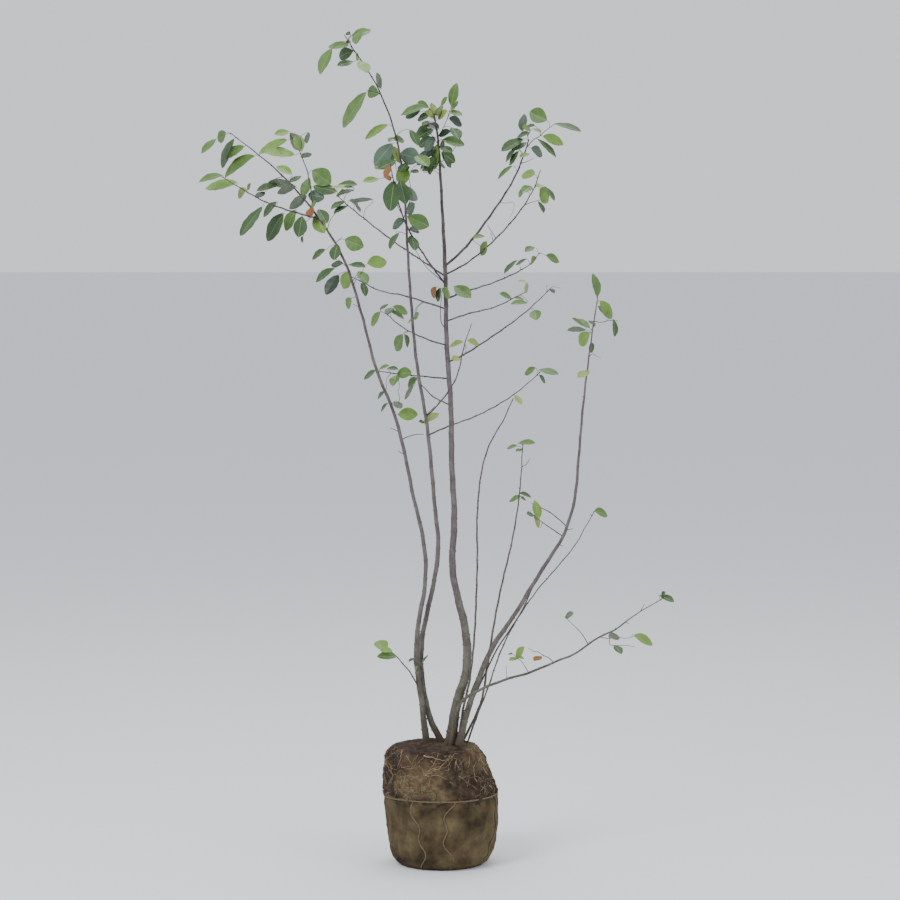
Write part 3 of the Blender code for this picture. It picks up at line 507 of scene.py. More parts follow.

# ----------------------------------------------------------- the leaves
# Each spray names the limbs that carry it. A leaf is where its blade starts
# and where its tip is seen, its seen width, and its tone; the tones b, m, d and v are painted light and shade.
SPRAYS = {
    "mass_left_tip": (["stem_left_outer"], [
        (209, 145, 200, 153, 11, "m"), (199, 152, 182, 166, 6, "m"), (218, 152, 203, 183, 8, "g"), (229, 160, 205, 172, 9, "m"),
        (240, 170, 205, 191, 9, "m"), (266, 202, 242, 206, 6, "d"), (251, 209, 241, 215, 6, "v"), (277, 199, 290, 191, 5, "d"),
        (284, 203, 255, 197, 8, "g"), (284, 204, 264, 210, 8, "g"), (280, 190, 264, 180, 8, "b")]),
    "mass_left_side_tip": (["bough_left_side"], [
        (206, 191, 180, 196, 6, "m"), (221, 199, 187, 205, 9, "b"), (231, 206, 222, 214, 8, "y"), (232, 207, 235, 200, 3, "m")]),
    "mass_left_back": (["bough_left_back"], [
        (275, 153, 243, 165, 8, "b"), (283, 169, 250, 165, 9, "b"), (277, 144, 262, 146, 7, "b"), (278, 146, 289, 163, 11, "g"),
        (285, 147, 291, 165, 12, "b"), (298, 145, 296, 157, 5, "g"), (290, 172, 301, 167, 6, "g"), (302, 186, 322, 200, 20, "m")]),
    "mass_left_heart": (["stem_left_outer", "bough_left_back"], [
        (303, 203, 328, 208, 12, "d"), (315, 215, 297, 212, 14, "t"), (305, 218, 302, 226, 4, "m"), (299, 194, 290, 214, 10, "m"),
        (296, 213, 277, 227, 10, "g"), (300, 226, 300, 236, 9, "o"), (304, 235, 315, 253, 14, "b"), (309, 228, 318, 242, 11, "d")]),
    "mass_left_side_high": (["stem_left_outer"], []),
    "mass_left_under": (["bough_left_side"], [
        (284, 228, 273, 251, 11, "m"), (291, 235, 287, 257, 15, "d"), (292, 257, 291, 263, 3, "d"), (271, 232, 251, 261, 14, "d")]),
    "mass_left_side_low": (["bough_left_side"], [
        (264, 220, 248, 235, 7, "d"), (248, 225, 223, 255, 9, "d")]),
    "mass_left_high": (["bough_left_high"], [
        (328, 213, 347, 205, 4, "d"), (330, 211, 337, 208, 5, "d"), (330, 201, 350, 200, 6, "d"), (347, 204, 322, 202, 3, "y"),
        (337, 219, 322, 226, 5, "d"), (340, 224, 325, 231, 4, "d"), (367, 217, 342, 218, 4, "g"), (342, 218, 352, 222, 5, "g"),
        (349, 222, 354, 230, 3, "g")]),
    "mass_crown_tip": (["stem_left_inner"], [
        (341, 52, 319, 52, 7, "m"), (323, 55, 309, 82, 10, "m"), (346, 58, 329, 64, 13, "d"), (346, 69, 329, 73, 6, "d"),
        (343, 40, 338, 38, 5, "g"), (345, 42, 365, 34, 8, "m"), (353, 36, 349, 50, 9, "m"), (343, 47, 339, 49, 4, "v"),
        (351, 60, 351, 68, 3, "y"), (354, 68, 361, 80, 12, "b")]),
    "mass_inner_stem_top": (["stem_left_inner"], [
        (374, 104, 360, 100, 14, "m"), (360, 102, 333, 139, 11, "m"), (376, 98, 370, 81, 6, "g"), (383, 137, 357, 150, 7, "b")]),
    "mass_left_inner": (["stem_left_inner", "bough_left_inner"], [
        (389, 152, 401, 154, 7, "m"), (384, 155, 389, 150, 4, "d"), (388, 157, 369, 180, 17, "t"), (393, 168, 368, 183, 14, "b"),
        (392, 175, 373, 184, 9, "d"), (418, 174, 397, 168, 19, "t"), (396, 178, 389, 160, 7, "y"), (400, 180, 398, 201, 15, "b"),
        (403, 178, 396, 187, 8, "d"), (408, 186, 416, 187, 4, "d"), (414, 170, 427, 180, 11, "m"), (402, 188, 406, 182, 3, "m"),
        (393, 203, 416, 217, 12, "g"), (390, 197, 385, 230, 18, "d"), (384, 181, 381, 192, 7, "o"), (373, 195, 357, 197, 6, "b"),
        (407, 142, 416, 159, 8, "d"), (396, 196, 403, 222, 15, "d"), (379, 190, 386, 196, 5, "o")]),
    "mass_centre": (["stem_left_inner", "bough_left_inner"], [
        (404, 235, 428, 246, 17, "m"), (404, 232, 413, 222, 10, "t"), (401, 240, 387, 246, 10, "t"), (406, 250, 418, 250, 7, "t"),
        (408, 256, 413, 270, 10, "d"), (395, 253, 384, 269, 5, "d")]),
    "mass_leader": (["trunk"], [
        (451, 117, 456, 92, 10, "m"), (440, 116, 446, 107, 4, "m"), (452, 122, 458, 111, 4, "m"), (427, 118, 416, 113, 6, "m"),
        (425, 117, 396, 124, 7, "m"), (418, 122, 401, 128, 8, "d"), (428, 127, 414, 130, 8, "d"), (428, 137, 413, 146, 6, "d"),
        (428, 133, 420, 137, 4, "d"), (449, 122, 463, 126, 5, "m"), (449, 130, 464, 137, 9, "v"), (452, 140, 460, 152, 10, "d"),
        (442, 153, 466, 158, 10, "m"), (441, 166, 455, 177, 12, "d"), (443, 168, 452, 183, 7, "d"), (442, 153, 442, 164, 5, "g"),
        (432, 142, 414, 150, 9, "d"), (430, 150, 416, 160, 9, "d"), (434, 150, 423, 165, 10, "t"), (436, 158, 434, 182, 7, "b"),
        (426, 165, 416, 180, 9, "t"), (421, 187, 428, 178, 4, "d"), (418, 185, 425, 176, 3, "d"), (431, 178, 428, 190, 6, "d"),
        (438, 178, 445, 183, 3, "g"), (434, 130, 424, 122, 6, "y"), (433, 128, 431, 113, 7, "y"), (436, 128, 441, 115, 6, "m"),
        (432, 130, 428, 119, 5, "m"), (437, 131, 446, 121, 6, "y"), (436, 170, 422, 186, 9, "d"), (438, 141, 426, 135, 8, "v"),
        (436, 162, 420, 170, 9, "v"), (439, 172, 430, 184, 8, "m"), (438, 148, 450, 144, 7, "v"), (440, 160, 452, 166, 7, "d")]),
    "mass_right_leader": (["bough_right_leader"], [
        (554, 132, 535, 123, 17, "m"), (528, 144, 529, 125, 9, "g"), (536, 141, 529, 139, 6, "b"), (541, 138, 531, 138, 4, "g"),
        (540, 141, 548, 144, 3, "m"), (535, 145, 521, 150, 5, "d"), (529, 152, 505, 165, 9, "d"), (532, 156, 516, 164, 6, "d"),
        (520, 164, 509, 176, 5, "d"), (524, 165, 513, 180, 5, "d"), (550, 149, 572, 158, 10, "b"), (544, 152, 565, 170, 5, "d"),
        (563, 136, 591, 142, 5, "d"), (537, 162, 551, 169, 10, "t"), (535, 168, 525, 171, 4, "y"), (517, 181, 500, 194, 4, "m")]),
    "mass_right_high": (["bough_right_high"], [
        (541, 190, 527, 190, 10, "b"), (537, 203, 528, 208, 8, "m"), (530, 207, 523, 213, 6, "m"), (543, 199, 547, 205, 4, "y"),
        (547, 204, 553, 220, 11, "b"), (551, 203, 563, 217, 4, "d"), (545, 219, 551, 231, 4, "d"), (489, 262, 484, 277, 8, "m"),
        (475, 259, 487, 255, 5, "m")]),
    "mass_right_upper": (["bough_right_upper"], [
        (553, 277, 568, 284, 8, "m"), (540, 268, 531, 272, 6, "m"), (543, 280, 535, 285, 7, "b"), (532, 281, 520, 287, 3, "d"),
        (522, 282, 508, 296, 4, "d"), (455, 310, 472, 321, 13, "m"), (445, 323, 449, 311, 10, "b")]),
    "mass_right_upper_front": (["bough_right_upper_front"], [
        (533, 316, 531, 307, 5, "y"), (516, 323, 504, 318, 5, "m"), (520, 323, 530, 324, 3, "m"), (533, 328, 516, 328, 4, "m"),
        (531, 305, 523, 304, 2, "y")]),
    "mass_right_mid": (["bough_right_mid"], [
        (541, 336, 543, 346, 13, "m"), (481, 373, 470, 368, 6, "y"), (464, 370, 449, 375, 5, "y"), (461, 387, 453, 388, 6, "y"),
        (558, 313, 562, 317, 4, "v")]),
    "mass_left_upper": (["trunk", "bough_left_upper"], [
        (435, 311, 430, 323, 7, "o"), (440, 312, 436, 327, 6, "d"), (411, 345, 416, 339, 5, "m"), (409, 347, 404, 349, 3, "m")]),
    "mass_left_stem_right": (["stem_left_outer"], [
        (337, 260, 357, 268, 17, "m"), (361, 286, 383, 283, 14, "b"), (341, 287, 359, 288, 5, "d"), (352, 294, 361, 307, 10, "m"),
        (356, 306, 360, 320, 7, "d")]),
    "mass_left_stem_left": (["stem_left_outer"], [
        (329, 265, 325, 282, 12, "d"), (316, 271, 301, 281, 6, "d"), (335, 286, 322, 287, 7, "t"), (326, 291, 305, 305, 7, "d"),
        (330, 298, 316, 318, 12, "v"), (341, 295, 336, 312, 12, "b"), (344, 323, 338, 334, 8, "m")]),
    "mass_left_mid_front": (["bough_left_mid_front"], [
        (382, 341, 388, 333, 8, "d"), (389, 332, 405, 339, 8, "m"), (387, 338, 402, 344, 5, "m"), (375, 338, 365, 353, 7, "m"),
        (375, 336, 383, 329, 3, "g"), (399, 362, 390, 380, 11, "m"), (401, 362, 406, 376, 5, "d")]),
    "mass_left_mid": (["bough_left_mid"], [
        (393, 404, 408, 403, 12, "m"), (393, 406, 388, 416, 9, "m"), (383, 398, 394, 399, 4, "d"), (374, 399, 384, 395, 3, "m"),
        (370, 401, 357, 410, 5, "d"), (415, 409, 403, 418, 8, "m"), (411, 417, 401, 432, 4, "g"), (380, 424, 371, 431, 4, "d")]),
    "mass_left_stem_low": (["stem_left_outer"], [
        (391, 434, 397, 441, 7, "d"), (394, 448, 416, 448, 14, "b"), (383, 436, 375, 445, 3, "d")]),
    "mass_right_low": (["bough_right_low"], [
        (542, 398, 529, 404, 7, "m"), (546, 400, 567, 404, 6, "m"), (546, 406, 553, 414, 4, "d"), (520, 427, 527, 436, 6, "y")]),
    "stem_left_inner": (["stem_left_inner"], [
        (422, 457, 438, 446, 8, "y"), (422, 456, 417, 456, 4, "d")]),
    "mass_slender_tip": (["stem_slender_back"], [
        (523.5, 479, 541, 478, 5, "m"), (522, 482, 510.6, 483.6, 4, "m"), (527.6, 485.6, 521, 487, 3, "m"),
        (526.5, 536, 513, 540.5, 5, "m"), (526.5, 538, 532, 539, 4, "m"), (525, 533, 538, 536.4, 4, "d")]),
    "mass_right_stem_top": (["stem_right"], [
        (608, 322, 605, 296, 8, "m"), (611, 326, 625, 345, 11, "b"), (620, 344, 610, 330, 6, "m"), (626, 346, 628, 364, 5, "d"),
        (606, 353, 600, 346, 4, "g"), (600, 355, 586, 344, 6, "m"), (594, 353, 582, 344, 3, "m"), (596, 357, 576, 357, 5, "g"),
        (600, 360, 588, 373, 13, "b"), (601, 371, 602, 381, 6, "d"), (599, 401, 588, 408, 8, "y")]),
    "mass_right_stem_low": (["twig_right_stem_upper", "twig_right_stem_lower"], [
        (541, 540.5, 546.5, 560, 9, "b"), (540.4, 557, 547.6, 569.7, 6, "y"), (540, 556, 532.7, 555, 5, "t")]),
    "mass_shoot_right_tip": (["shoot_right"], [
        (605.5, 552, 619.7, 555.5, 9, "m")]),
    "mass_low_right_mid": (["bough_low_right"], [
        (521, 711, 528.8, 698, 7, "b"), (521, 709, 530, 709, 5, "b"), (548, 708.5, 540.4, 713, 6, "o"), (573.7, 666, 582, 661.7, 6, "g"),
        (620.5, 687.3, 632.7, 687.3, 8, "g"), (648, 685.4, 669, 695.6, 9, "b"), (627, 697, 634.6, 704.6, 7, "d"), (517, 706, 513, 705, 3, "g"),
        (522, 710, 514, 712, 4, "b")]),
    "mass_low_right_tip": (["bough_low_right"], [
        (675.6, 642.4, 691, 648.5, 6, "d"), (678, 645, 681, 639, 4, "d")]),
    "mass_low_left": (["shoot_low_left"], [
        (392.7, 708.5, 371.7, 708, 8, "m"), (380, 703, 372, 690, 14, "b"), (375, 702, 387, 702, 5, "b")]),
    "stem_left_outer": (["stem_left_outer"], [
        (406.5, 714, 412.7, 709, 3, "t"), (412.4, 722.3, 414.7, 719.2, 3, "m"), (420.4, 715.6, 425, 706, 3, "t")]),
}

ROWS = 13


def leaf(kit, base, tip, across, normal, width, tone, draw, curl, fold):
    """A serrate elliptic blade with a thin body: its upper face, its lower face and a midrib."""
    axis = tip - base
    length = np.linalg.norm(axis)
    axis = axis / length
    t = np.linspace(0, 1, ROWS * 2)
    widest = draw.uniform(0.44, 0.54)
    bend = np.where(t < widest, 0.5 * t / widest, 0.5 + 0.5 * (t - widest) / (1 - widest))
    half = width / 2 * np.sin(math.pi * bend) ** draw.uniform(0.62, 0.8)
    half[0], half[-1] = 0.35, 0.15
    teeth = np.where(np.arange(len(t)) % 2, 1.018, 0.985)
    skew = draw.uniform(0.93, 1.07)
    wave_n, wave_p = draw.uniform(5, 9), draw.uniform(0, 6.3, 2)
    cols = np.array((-1.0, -0.55, -0.07, 0.07, 0.55, 1.0))
    top = np.zeros((len(t), len(cols), 3))
    for k, c in enumerate(cols):
        edge = half * (teeth if abs(c) == 1 else 1.0) * (skew if c > 0 else 2 - skew)
        x = c * edge if abs(c) > 0.1 else np.sign(c) * np.minimum(0.45, half * 0.5)
        forward = abs(c) * 0.05 * length * np.sin(math.pi * t)
        z = (fold * np.abs(x) - curl * length * (t - 0.1) ** 2 * 0.9
             + 0.012 * width * abs(c) ** 2 * np.sin(wave_n * t * math.pi + wave_p[int(c > 0)])
             + (0.12 * np.sin(t * 9 * 2 * math.pi) if abs(c) > 0.3 and abs(c) < 0.9 else 0.0))
        if abs(c) < 0.1:
            z = z - 0.25
        top[:, k] = base + (t * length)[:, None] * axis + forward[:, None] * axis * 0.6 + x[:, None] * across + z[:, None] * normal
    n, m = len(t), len(cols)
    low = top - normal * 0.32
    low[:, 2:4] -= normal * 0.35
    i, j = np.meshgrid(np.arange(n - 1), np.arange(m - 1), indexing="ij")
    a = (i * m + j).ravel()
    upper = np.column_stack([a, a + 1, a + m + 1, a + m])
    lower = upper[:, ::-1] + n * m
    middle = (j.ravel() == 2)
    k = np.arange(n - 1) * m
    left = np.column_stack([k, k + m, k + m + n * m, k + n * m])
    right = np.column_stack([k + m - 1, k + m - 1 + n * m, k + 2 * m - 1 + n * m, k + 2 * m - 1])
    e = np.arange(m - 1)
    foot = np.column_stack([e, e + n * m, e + 1 + n * m, e + 1])
    head = np.column_stack([e, e + 1, e + 1 + n * m, e + n * m]) + (n - 1) * m
    verts = np.vstack([top.reshape(-1, 3), low.reshape(-1, 3)])
    slot = TONE_LIST.index(tone)
    dull = len(TONE_LIST)
    side = slot if tone in "gto" else dull
    kit.add(verts, [upper[~middle], upper[middle], lower, left, right, foot, head], slot)
    count = [len(upper[~middle]), len(upper[middle]), len(lower), len(left), len(right), len(foot), len(head)]
    # the midrib takes the pale rib colour, except on turned leaves and on v leaves, whose painted deep shadow covers
    # it too
    kinds = [slot, dull + 1 if tone not in "vo" else slot, side, slot, slot, slot, slot]
    for b, (c, kind) in enumerate(zip(count, kinds)):
        kit.slots[len(kit.slots) - len(count) + b] = np.full(c, kind)


def petiole(base, carriers, draw):
    """The nearest spot, as seen, on its carriers: how far off it is in pixels, the carrier, and the index on its line.
    """
    spot = seen(base)[0]
    best = None
    for name in carriers:
        line, along, radius, flat = lines[name]
        away = np.linalg.norm(flat - spot, axis=1)
        k = int(np.argmin(away))
        if best is None or away[k] < best[0]:
            best = (away[k], name, k)
    return best


leaves = Kit()
number = 0
for spray, (carriers, entries) in SPRAYS.items():
    every = list(carriers)
    for name in carriers:
        every += lines.get("twigs of " + name, [])
    for (u0, v0, u1, v1, seen_width, tone) in entries:
        draw = np.random.RandomState(9000 + number)
        number += 1
        away, name, k = petiole(sight(u0, v0, 0.0), every, draw)
        # sight at depth 0 only serves to find the pixel; the depth is the carrier's
        line, along, radius, flat = lines[name]
        back = max(0, k - int(draw.uniform(2, 5)))
        root = line[back]
        scale = (root[1] - EYE[1]) / REACH
        gap = away * scale
        depth = root[1] + draw.uniform(-1, 1) * min(14.0, 5 + 0.45 * gap)
        base = sight(u0, v0, depth)
        flat_tip = sight(u1, v1, depth)
        shown = np.linalg.norm(flat_tip - base)
        true = max(shown * 1.02, min(draw.uniform(46, 62), shown * 1.9, 10 + 1.9 * max(seen_width * scale, 0.45 * shown)))
        lean = math.sqrt(max(true ** 2 - shown ** 2, 0)) * (1 if draw.rand() < 0.5 else -1)
        tip = sight(u1, v1, depth + lean)
        axis = (tip - base) / np.linalg.norm(tip - base)
        look = (base + tip) / 2 - EYE
        look /= np.linalg.norm(look)
        across = np.cross(axis, look)
        across /= np.linalg.norm(across)
        normal = np.cross(across, axis)
        if np.dot(normal, look) > 0:
            normal, across = -normal, -across
        length = np.linalg.norm(tip - base)
        shown_width = seen_width * scale
        width = max(shown_width, min(0.56 * length, shown_width * 2.4))
        roll = math.acos(min(1.0, shown_width / width)) * 0.92
        # the upper side looks up where it can; on gray leaves the under side shows
        if np.dot(across, (0, 0, 1)) > 0:
            roll = -roll
        if tone in "gt":
            roll = -roll
        a2 = across * math.cos(roll) + normal * math.sin(roll)
        n2 = normal * math.cos(roll) - across * math.sin(roll)
        if tone in "gt":
            pass
        curl = draw.uniform(0.02, 0.16) * (1 if n2[2] > -0.2 else -1)
        fold = draw.uniform(0.05, 0.30) if tone not in "gt" else -draw.uniform(0.05, 0.2)
        leaf(leaves, base, tip, a2, n2, width, tone, draw, curl, fold)
        # the petiole, which leaves its twig upward and bends into the blade
        span = np.linalg.norm(base - root)
        grow = line[min(len(line) - 1, back + 3)] - line[max(0, back - 1)]
        grow /= max(np.linalg.norm(grow), 1e-6)
        path, run = smooth([root, root + (base - root) * 0.35 + grow * span * 0.14, base - axis * min(3.0, span * 0.25) - (base - root) * 0.12, base + axis * 1.2 - n2 * 0.2], 2.0)
        thick = 0.75 if span > 26 else 0.6
        twigs.tube(path, np.interp(run / run[-1], (0, 0.08, 0.5, 1), (thick * 1.5, thick, thick * 0.85, 0.55)), 6, 1)

petiole_skin = leaf_finish("petiole", (0.105, 0.085, 0.045), 0.6, 0.35)

body = "root"
for name, kit in limb_kits.items():
    piece = kit.piece(name + "_bark", [bark if name in THICK else young_bark])
    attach(piece, body)
    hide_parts(*NODES.get(name, (name,)))
piece = twigs.piece("twigs_and_petioles", [twig_bark, petiole_skin])
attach(piece, body)
piece = leaves.piece("leaves", list(TONES.values()) + [under, rib], 60)
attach(piece, body)
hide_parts(*[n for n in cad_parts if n.startswith("mass_")])

# --------------------------------------------------------- the root ball
PROFILE = [
    (0, 97, 97), (8, 109, 109), (32, 121, 122), (70, 127, 131), (104, 129, 136),
    (134, 131, 137), (160, 133, 137), (178, 140, 135), (214, 140, 121),
    (244, 138, 107), (256, 137, 102), (268, 132, 95), (283, 114, 82), (290, 62, 72)]
lumps = np.random.RandomState(11).uniform(0, 2 * math.pi, 6)


def hills(x, y, z, seed, scale, octaves=5):
    """Smooth seeded roughness from -1 to 1: sums of slanted waves."""
    draw = np.random.RandomState(seed)
    total = np.zeros_like(x)
    size, most = 1.0, 0.0
    for _ in range(octaves):
        for _ in range(3):
            w = draw.normal(size=3)
            w /= np.linalg.norm(w)
            p = draw.uniform(0, 6.3, 2)
            q = (w[0] * x + w[1] * y + w[2] * z) / scale * 2 * math.pi
            cross = draw.normal(size=3)
            cross /= np.linalg.norm(cross)
            o = (cross[0] * x + cross[1] * y + cross[2] * z) / scale * 1.7 * math.pi
            total += size * np.sin(q + p[0] + 1.3 * np.sin(o + p[1]))
        most += 3 * size
        size *= 0.55
        scale *= 0.48
    return total / most * 2


def ball_radius(z, a):
    z = np.asarray(z, float)
    left = np.interp(z, [p[0] for p in PROFILE], [p[1] for p in PROFILE])
    right = np.interp(z, [p[0] for p in PROFILE], [p[2] for p in PROFILE])
    r = (left + right) / 2 - (left - right) / 2 * np.cos(a)
    swell = np.sin(math.pi * np.minimum(z, 270) / 300)
    return r + swell * (2.2 * np.cos(3 * a + lumps[0] + z / 60) + 1.6 * np.cos(5 * a + lumps[1] - z / 45) + 1.2 * np.cos(8 * a + lumps[2]))


GIRTH = 170.0
sides = 200
turn = np.arange(sides) * 2 * math.pi / sides


def shell(rows, relief, name, material, closed_low):
    """A closed lathe through (height, share of the radius) rows, with relief in mm."""
    kit = Kit()
    rings = []
    for z, share in rows:
        r = ball_radius(min(z, 290), turn) * share
        x, y = r * np.cos(turn), r * np.sin(turn)
        out = relief(x, y, np.full(sides, z), turn)
        rings.append(np.column_stack([x + out * np.cos(turn), y + out * np.sin(turn), np.full(sides, z)]))
    verts = np.vstack(rings + [[(rings[0][:, 0].mean(), rings[0][:, 1].mean(), rings[0][0, 2])],
                               [(rings[-1][:, 0].mean(), rings[-1][:, 1].mean(), rings[-1][:, 2].mean())]])
    n, m = len(rings), sides
    i, j = np.meshgrid(np.arange(n - 1), np.arange(m), indexing="ij")
    a, b = (i * m + j).ravel(), (i * m + (j + 1) % m).ravel()
    k = np.arange(m)
    kit.add(verts, [np.column_stack([a, b, b + m, a + m]),
                    np.column_stack([np.full(m, n * m), (k + 1) % m, k]),
                    np.column_stack([np.full(m, n * m + 1), (n - 1) * m + k, (n - 1) * m + (k + 1) % m])])
    return kit


def soil_relief(x, y, z, a):
    return 3.4 * hills(x, y, z, 3, 60) + 1.3 * hills(x, y, z, 4, 14, 4)


def wrap_relief(x, y, z, a):
    folds = 1.6 * np.sin(23 * a + 0.9 * np.sin(z / 31) + 1.1) + 1.1 * np.sin(41 * a + 2 * np.sin(z / 23))
    slack = np.clip((GIRTH - z) / 26, 0, 1) * np.clip(z / 16, 0, 1)
    return 1.0 + slack * folds * 1.15 + 1.6 * hills(x, y, z, 8, 70, 3) * slack


soil_rows = [(z, 1.0) for z in np.arange(GIRTH - 14, 284, 2.2)]
soil = shell(soil_rows, soil_relief, "soil", None, True)
# the domed crown closes over the top
verts = soil.verts[0]
rim = verts[-2 - sides:-2]
centre = np.array((4.0, 0.0, 0.0))
crown = []
for share in np.linspace(1, 0.02, 34)[1:]:
    ring = np.column_stack([centre[0] + (rim[:, 0] - centre[0]) * share, centre[1] + (rim[:, 1] - centre[1]) * share, np.zeros(sides)])
    rise = 282.5 + 9.0 * (1 - share ** 2.2)
    ring[:, 2] = rise + (2.2 * hills(ring[:, 0], ring[:, 1], ring[:, 2] + 290, 3, 46) + 1.0 * hills(ring[:, 0], ring[:, 1], ring[:, 2], 5, 11, 3)) * min(1, 3 * share)
    crown.append(ring)
rings = [verts[k * sides:(k + 1) * sides] for k in range(len(soil_rows))] + crown
top = Kit()
n = len(rings)
vv = np.vstack(rings + [[verts[-2]], [rings[-1].mean(axis=0)]])
i, j = np.meshgrid(np.arange(n - 1), np.arange(sides), indexing="ij")
a, b = (i * sides + j).ravel(), (i * sides + (j + 1) % sides).ravel()
k = np.arange(sides)
top.add(vv, [np.column_stack([a, b, b + sides, a + sides]),
             np.column_stack([np.full(sides, n * sides), (k + 1) % sides, k]),
             np.column_stack([np.full(sides, n * sides + 1), (n - 1) * sides + k, (n - 1) * sides + (k + 1) % sides])])

earth, tree, bsdf = shader("earth", 0.95, 0.2)
clods = noise(tree, 60, 6, 0.7)
patch = noise(tree, 9, 3, 0.5)
dark_soil = ramp(tree, clods, [(0.30, (0.010, 0.007, 0.005)), (0.5, (0.036, 0.024, 0.016)), (0.72, (0.085, 0.060, 0.040))])
clay = ramp(tree, clods, [(0.30, (0.070, 0.050, 0.026)), (0.5, (0.105, 0.078, 0.042)), (0.72, (0.165, 0.128, 0.074))])
tree.links.new(mix(tree, ramp(tree, patch, [(0.50, (0, 0, 0)), (0.62, (1, 1, 1))]), dark_soil, clay), bsdf.inputs["Base Color"])
bump(tree, bsdf, clods, 0.9, 0.003)

wrap_skin, tree, bsdf = shader("burlap", 0.95, 0.15)
where = tree.nodes.new("ShaderNodeTexCoord")
weave = tree.nodes.new("ShaderNodeTexWave")
weave.bands_direction = "Z"
weave.inputs["Scale"].default_value = 160
weave.inputs["Distortion"].default_value = 2.5
tree.links.new(where.outputs["Object"], weave.inputs["Vector"])
stain = noise(tree, 14, 4, 0.65)
fibre = noise(tree, 320, 4, 0.7, (1, 1, 0.3))
cloth = ramp(tree, stain, [(0.32, (0.030, 0.021, 0.012)), (0.5, (0.088, 0.064, 0.034)), (0.66, (0.150, 0.118, 0.060)), (0.8, (0.225, 0.165, 0.070))])
tree.links.new(mix(tree, 0.5, cloth, mix(tree, weave.outputs["Fac"], tuple((0.03, 0.02, 0.012)), cloth), "MIX"), bsdf.inputs["Base Color"])
bump(tree, bsdf, fibre, 0.7, 0.0016)

piece = top.piece("root_ball_soil", [earth])
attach(piece, body)
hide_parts("root_ball")
wrap_rows = [(0.0, 0.96)] + [(z, 1.0) for z in np.concatenate([[1.0, 3.0], np.arange(5, GIRTH + 3, 2.2)])] + [(GIRTH + 4, 0.975)]
wrap = shell(wrap_rows, wrap_relief, "wrap", None, True)
piece = wrap.piece("root_ball_wrap", [wrap_skin])
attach(piece, body)

# girth rope, drawn tight, and cords down the sides
rope_skin, tree, bsdf = shader("rope", 0.9, 0.2)
strand = noise(tree, 500, 4, 0.6, (1, 1, 2.5))
tree.links.new(ramp(tree, strand, [(0.3, (0.050, 0.036, 0.022)), (0.55, (0.165, 0.125, 0.075)), (0.8, (0.26, 0.21, 0.14))]), bsdf.inputs["Base Color"])
bump(tree, bsdf, strand, 0.8, 0.0008)
ropes = Kit()
around = np.linspace(0, 2 * math.pi, 360)
draw = np.random.RandomState(21)
level = GIRTH + 3.5 * np.sin(around + 2.0) + 1.5 * np.sin(3 * around + 1)
r = ball_radius(level, around) + 2.0 + 0.8 * np.sin(17 * around)
ropes.tube(np.column_stack([r * np.cos(around), r * np.sin(around), level]), 1.7 + 0.25 * np.sin(160 * around), 8)
for a0 in (-2.02, -1.42, -0.45, 0.5, 1.3, 2.2, 3.0):
    z = np.linspace(4, GIRTH + 2, 70)
    a = a0 + 0.10 * np.sin(z / 37 + a0 * 3) + 0.05 * np.sin(z / 11 + a0)
    r = ball_radius(z, a) + 2.6
    ropes.tube(np.column_stack([r * np.cos(a), r * np.sin(a), z]), 1.5, 7)
piece = ropes.piece("root_ball_ropes", [rope_skin])
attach(piece, body)

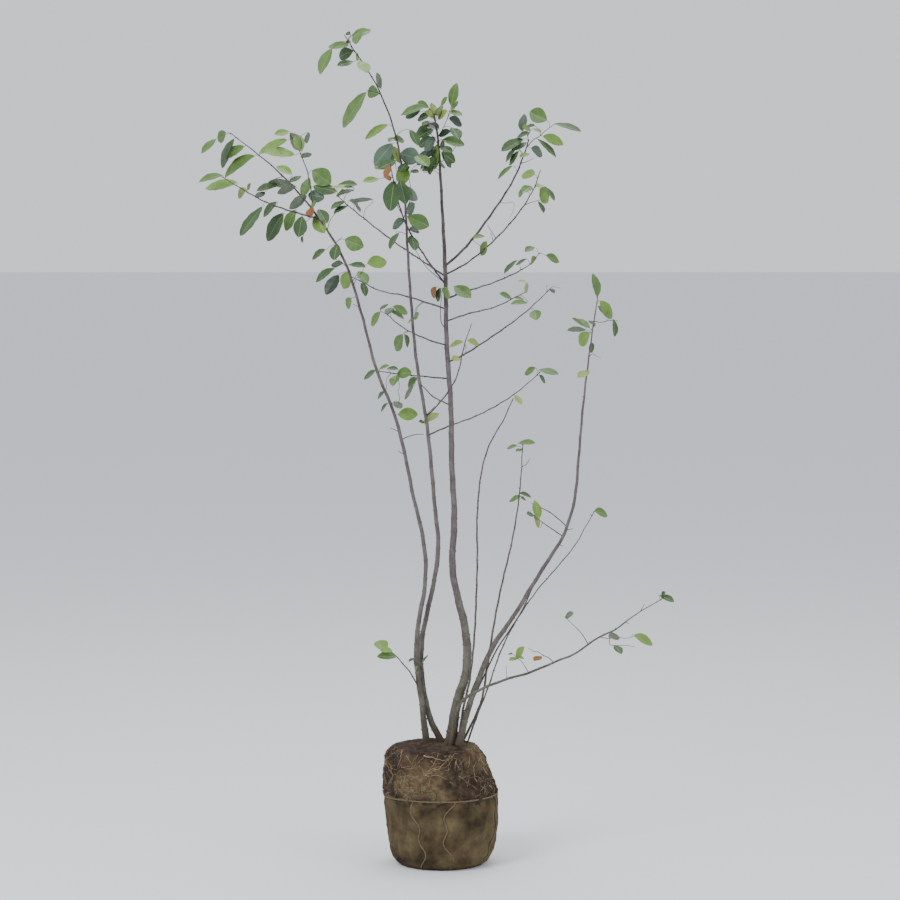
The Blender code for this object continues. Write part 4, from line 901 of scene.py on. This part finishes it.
# fine roots matted over the bare upper half
root_skins = []
for name, colour in (("root_pale", (0.300, 0.225, 0.130)), ("root_red", (0.130, 0.060, 0.032)), ("root_dark", (0.030, 0.020, 0.015))):
    material, tree, bsdf = shader(name, 0.85, 0.25)
    tree.links.new(ramp(tree, noise(tree, 200, 3), [(0.3, tuple(c * 0.5 for c in colour)), (0.7, tuple(min(1, c * 1.4) for c in colour))]), bsdf.inputs["Base Color"])
    root_skins.append(material)
roots = Kit()
draw = np.random.RandomState(33)
for n in range(520):
    a, z = draw.uniform(0, 2 * math.pi), draw.uniform(GIRTH + 2, 284)
    way = draw.normal(0, 1)
    length = draw.uniform(14, 70)
    size = draw.choice([0.35, 0.5, 0.8, 1.2], p=[0.45, 0.35, 0.15, 0.05])
    steps = int(length / 3) + 3
    spots = []
    for s in range(steps):
        r = float(ball_radius(min(z, 283), a))
        x, y = r * math.cos(a), r * math.sin(a)
        out = float(soil_relief(np.array([x]), np.array([y]), np.array([z]), np.array([a]))[0])
        lift = size * 0.5 + 0.6 * math.sin(math.pi * s / steps) * draw.uniform(0.2, 1.2)
        spots.append(((r + out + lift) * math.cos(a), (r + out + lift) * math.sin(a), z))
        way += draw.normal(0, 0.28)
        a += 3.0 * math.cos(way) / r
        z = min(283, max(GIRTH - 2, z + 3.0 * math.sin(way)))
    kind = int(draw.choice([0, 1, 2], p=[0.40, 0.32, 0.28]))
    roots.tube(np.array(spots), np.linspace(size, size * 0.4, len(spots)), 5, kind)
piece = roots.piece("root_ball_roots", root_skins)
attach(piece, body)

# ------------------------------------------------------- floor, light, camera
floor_mesh = bpy.data.meshes.new("floor")
floor_mesh.from_pydata([(-40, -40, 0), (40, -40, 0), (40, 60, 0), (-40, 60, 0)], [], [(0, 1, 2, 3)])
floor = bpy.data.objects.new("floor", floor_mesh)
bpy.context.scene.collection.objects.link(floor)
pale, tree, bsdf = shader("floor", 0.9, 0.2)
bsdf.inputs["Base Color"].default_value = (0.78, 0.79, 0.80, 1)
floor_mesh.materials.append(pale)

world = bpy.data.worlds.new("sky")
bpy.context.scene.world = world
world.use_nodes = True
world.node_tree.nodes["Background"].inputs["Color"].default_value = (0.86, 0.90, 0.96, 1)
world.node_tree.nodes["Background"].inputs["Strength"].default_value = 1.05


def lamp(name, place, target, size, power, colour=(1, 1, 1)):
    light = bpy.data.lights.new(name, "AREA")
    light.shape = "DISK"
    light.size = size
    light.energy = power
    light.color = colour
    piece = bpy.data.objects.new(name, light)
    piece.location = place
    piece.rotation_euler = (Vector(target) - Vector(place)).to_track_quat("-Z", "Y").to_euler()
    bpy.context.scene.collection.objects.link(piece)


lamp("key", (-2.6, -3.4, 4.2), (0, 0, 1.0), 2.2, 190)
lamp("fill", (3.4, -2.8, 2.6), (0, 0, 1.0), 2.6, 55, (0.94, 0.97, 1.0))
lamp("top", (0.3, 1.4, 4.6), (0, 0, 1.0), 2.4, 70)

camera_data = bpy.data.cameras.new("camera")
camera_data.sensor_width = 36
camera_data.lens = 3409.0 * 0.93 / 900 * 36
camera_data.clip_end = 60
camera = bpy.data.objects.new("camera", camera_data)
camera.location = (0.0198, -7.5, 1.615)
camera.rotation_euler = (math.radians(90 - 4.14 - 0.61), 0, 0)
bpy.context.scene.collection.objects.link(camera)
bpy.context.scene.camera = camera
